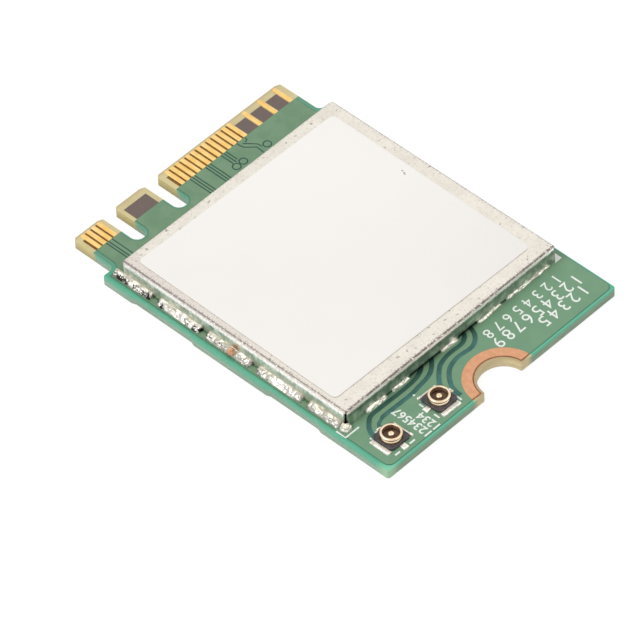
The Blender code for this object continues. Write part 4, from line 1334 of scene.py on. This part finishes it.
def build_solder():
    for side, numbers, *rest in BEAD_RUNS:
        for number in numbers:
            build_bead(f"solder_{side}_{number}", *rest)
    build_corner_drop()
    build_flux()


# Antenna jacks. Their shapes are drawn about the jack's axis, from the board's face up.

def eased(start_radius, start_z, end_radius, end_z, steps=8):
    """Profile points that ease from one radius to another."""
    profile = []
    for step in range(steps):
        t = step / steps
        ease = t * t * (3 - 2 * t)
        radius = start_radius + (end_radius - start_radius) * ease
        profile.append((radius, start_z + (end_z - start_z) * t))
    return profile


def shell_profile():
    """Outside of the waisted cup from its foot to its rolled lip, then down the bore."""
    lip_z = JACK_TOP - JACK_LIP_ROUND
    profile = [(JACK_BORE, JACK_FLOOR), (JACK_BASE, JACK_FLOOR)]
    profile += eased(JACK_BASE, JACK_BASE_TOP, JACK_WAIST, JACK_WAIST_Z)
    profile += eased(JACK_WAIST, JACK_WAIST_Z, JACK_LIP, lip_z)
    profile += arc(JACK_LIP - JACK_LIP_ROUND, lip_z, JACK_LIP_ROUND, 0, 90, 10)
    return profile + arc(JACK_BORE + JACK_MOUTH, JACK_TOP - JACK_MOUTH, JACK_MOUTH, 90, 180, 6)


def pin_shape():
    edge = arc(PIN_RADIUS - PIN_ROUND, PIN_HEIGHT - PIN_ROUND, PIN_ROUND, 0, 90, 8)
    return lathed([(PIN_RADIUS, 0.0), *edge], 48)


def span(side, inner, outer):
    """From and to, at two distances from the axis on one side of it."""
    return sorted((side * inner, side * outer))


def feet_shape(near):
    """A broad ground foot on the near side, a thin one opposite, and the signal lead's ends."""
    along = (FOOT_START, FOOT_END, 0.0, FOOT_HEIGHT)
    return joined(
        box(*span(near, FOOT_INNER, FOOT_OUTER), *along),
        box(*span(-near, FOOT_INNER, FAR_FOOT_OUTER), *along),
        box(-PAD_HALF, PAD_HALF, *span(-1, FOOT_INNER, PAD_OUTER), 0.0, FOOT_HEIGHT),
        box(-PAD_HALF, PAD_HALF, FOOT_INNER, FOOT_OUTER, 0.0, LEAD_HEIGHT),
    )


def pads(near):
    """X and Y from and to of the solder that shows at each foot."""
    return (
        (*span(near, FOOT_INNER + 0.09, FOOT_OUTER + 0.13), FOOT_START - 0.03, FOOT_END + 0.03),
        (*span(-near, FOOT_INNER + 0.02, FAR_FOOT_OUTER + 0.08), FOOT_START - 0.06, FOOT_START + 0.3),
        (-PAD_HALF - 0.04, PAD_HALF + 0.04, *span(-1, FOOT_INNER + 0.02, PAD_OUTER + 0.04)),
        (-PAD_HALF, PAD_HALF - 0.14, FOOT_INNER + 0.04, FOOT_OUTER - 0.02),
    )


def fillet_shape(pad, seed):
    """A low cushion of solder over a pad."""
    rings = []
    for inward, up in quarter(FILLET_LEVELS, FILLET_LEVELS + 1):
        inset = FILLET_INSET * (1 - inward)
        height = (FOOT_HEIGHT + FILLET_RISE) * up
        ring = []
        for x, y in rounded_rectangle(*inside(*pad, inset), 0.03, 3):
            lump = noise.noise(Vector((x * 3, y * 3, seed)))
            ring.append((x, y, height * (1 + 0.35 * lump)))
        rings.append(ring)
    return loft(rings)


def build_jack(number):
    x, y, turns = JACKS[number - 1]
    near = -1 if turns == 0 else 1
    name = f"antenna_jack_{number}"

    def set_down(shape):
        return placed(shape, x, y, FACE_Z, turns)

    square = (-HOUSING_HALF, HOUSING_HALF) * 2
    block = prism([rounded_rectangle(*square, HOUSING_CHAMFER, 1)], 0.0, HOUSING_HEIGHT)
    housing = piece(f"{name}_base", set_down(block), ["housing"], f"{name}_housing")
    cut(housing, set_down(lathed([(POCKET, JACK_FLOOR), (POCKET, 1.0)])))
    bevel(housing, 0.035, 3, 30.0)
    feet = piece(f"{name}_feet", set_down(feet_shape(near)), ["foot_tin"])
    bevel(feet, 0.02)
    for part, node, shape, smooth_angle in (
        ("cup", "shell", turned(shell_profile(), 96), 60.0), ("pin", "contact", pin_shape(), 50.0),
    ):
        node = f"{name}_{node}"
        piece(f"{name}_{part}", set_down(shape), ["jack_gold"], node, smooth_angle)
    for place, pad in enumerate(pads(near), 1):
        shape = set_down(fillet_shape(pad, number * 7 + place))
        piece(f"{name}_fillet_{place}", shape, ["pad_solder"], smooth_angle=70.0)


def dress_kept_nodes():
    """Materials for the solids that stay as they are."""
    for name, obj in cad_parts.items():
        for start, key in KEPT_LOOKS.items():
            if name.startswith(start) and not obj.hide_render:
                obj.data.materials.clear()
                obj.data.materials.append(looks[key])


# Stage, light and camera

def build_stage():
    bpy.ops.mesh.primitive_plane_add(size=3.0, location=(0.0, 0.0, -0.01 * MM))
    floor = bpy.context.object
    floor.name = "floor"
    floor.data.materials.append(floor_material())


def seen_directly(n):
    """1 for camera, glossy and transmission rays, 0 for the light that the stage throws."""
    path = n.node("ShaderNodeLightPath")
    rays = ("Is Camera Ray", "Is Glossy Ray", "Is Transmission Ray")
    camera, glossy, through = (Value(n, path.outputs[ray]) for ray in rays)
    return n.larger(n.larger(camera, glossy), through)


def floor_material():
    """White to the eye, and a plain grey to the light that falls on the card."""
    made = bpy.data.materials.new("floor_white")
    made.use_nodes = True
    n = Nodes(made.node_tree)
    n.tree.nodes.clear()
    plain = n.value("ShaderNodeBsdfDiffuse", 0, {"Color": [0.8, 0.8, 0.8, 1.0]})
    faint = n.value("ShaderNodeBsdfDiffuse", 0, {"Color": [0.3, 0.3, 0.3, 1.0]})
    glow = n.value("ShaderNodeEmission", 0, {"Strength": 0.8})
    bright = n.value("ShaderNodeAddShader", 0, {0: faint, 1: glow})
    mixed = n.value("ShaderNodeMixShader", 0, {"Fac": seen_directly(n), 1: plain, 2: bright})
    n.node("ShaderNodeOutputMaterial", {"Surface": mixed})
    return made


def build_light():
    world = bpy.data.worlds.new("studio")
    world.use_nodes = True
    bpy.context.scene.world = world
    n = Nodes(world.node_tree)
    background = n.tree.nodes["Background"]
    n.put(background.inputs["Color"], [1.0, 1.0, 1.0, 1.0])
    inputs = {0: seen_directly(n), 2: WORLD_LIGHT, 3: 1.0}
    n.put(background.inputs["Strength"], n.value("ShaderNodeMix", 0, inputs, data_type="FLOAT"))
    for name, place, size, power in LAMPS:
        data = bpy.data.lights.new(name, "AREA")
        data.shape = "DISK"
        data.size = size
        data.energy = power
        lamp = bpy.data.objects.new(name, data)
        lamp.location = place
        lamp.rotation_euler = (-Vector(place)).to_track_quat("-Z", "Y").to_euler()
        bpy.context.scene.collection.objects.link(lamp)


def build_camera():
    data = bpy.data.cameras.new("camera")
    data.lens = FOCAL
    data.sensor_width = SENSOR
    data.clip_start = 0.01
    data.clip_end = 20.0
    camera = bpy.data.objects.new("camera", data)
    tilt = Euler([math.radians(angle) for angle in (90 - ELEVATION, 0, AZIMUTH)]).to_matrix()
    place = (Vector(TARGET) + tilt.col[2] * DISTANCE) * MM
    turn = tilt @ Matrix.Rotation(math.radians(ROLL), 3, "Z")
    camera.matrix_world = Matrix.Translation(place) @ turn.to_4x4()
    bpy.context.scene.collection.objects.link(camera)
    bpy.context.scene.camera = camera
    bpy.context.scene.view_settings.view_transform = "Standard"


def main():
    build_camera()
    build_light()
    build_stage()
    looks.update(make_looks())
    build_laminate()
    build_contact_gaps()
    build_mask()
    build_bare_copper()
    build_planes()
    build_antenna_lines()
    build_marks()
    build_numbers()
    build_can()
    build_label()
    build_solder()
    build_jack(1)
    build_jack(2)
    dress_kept_nodes()


main()
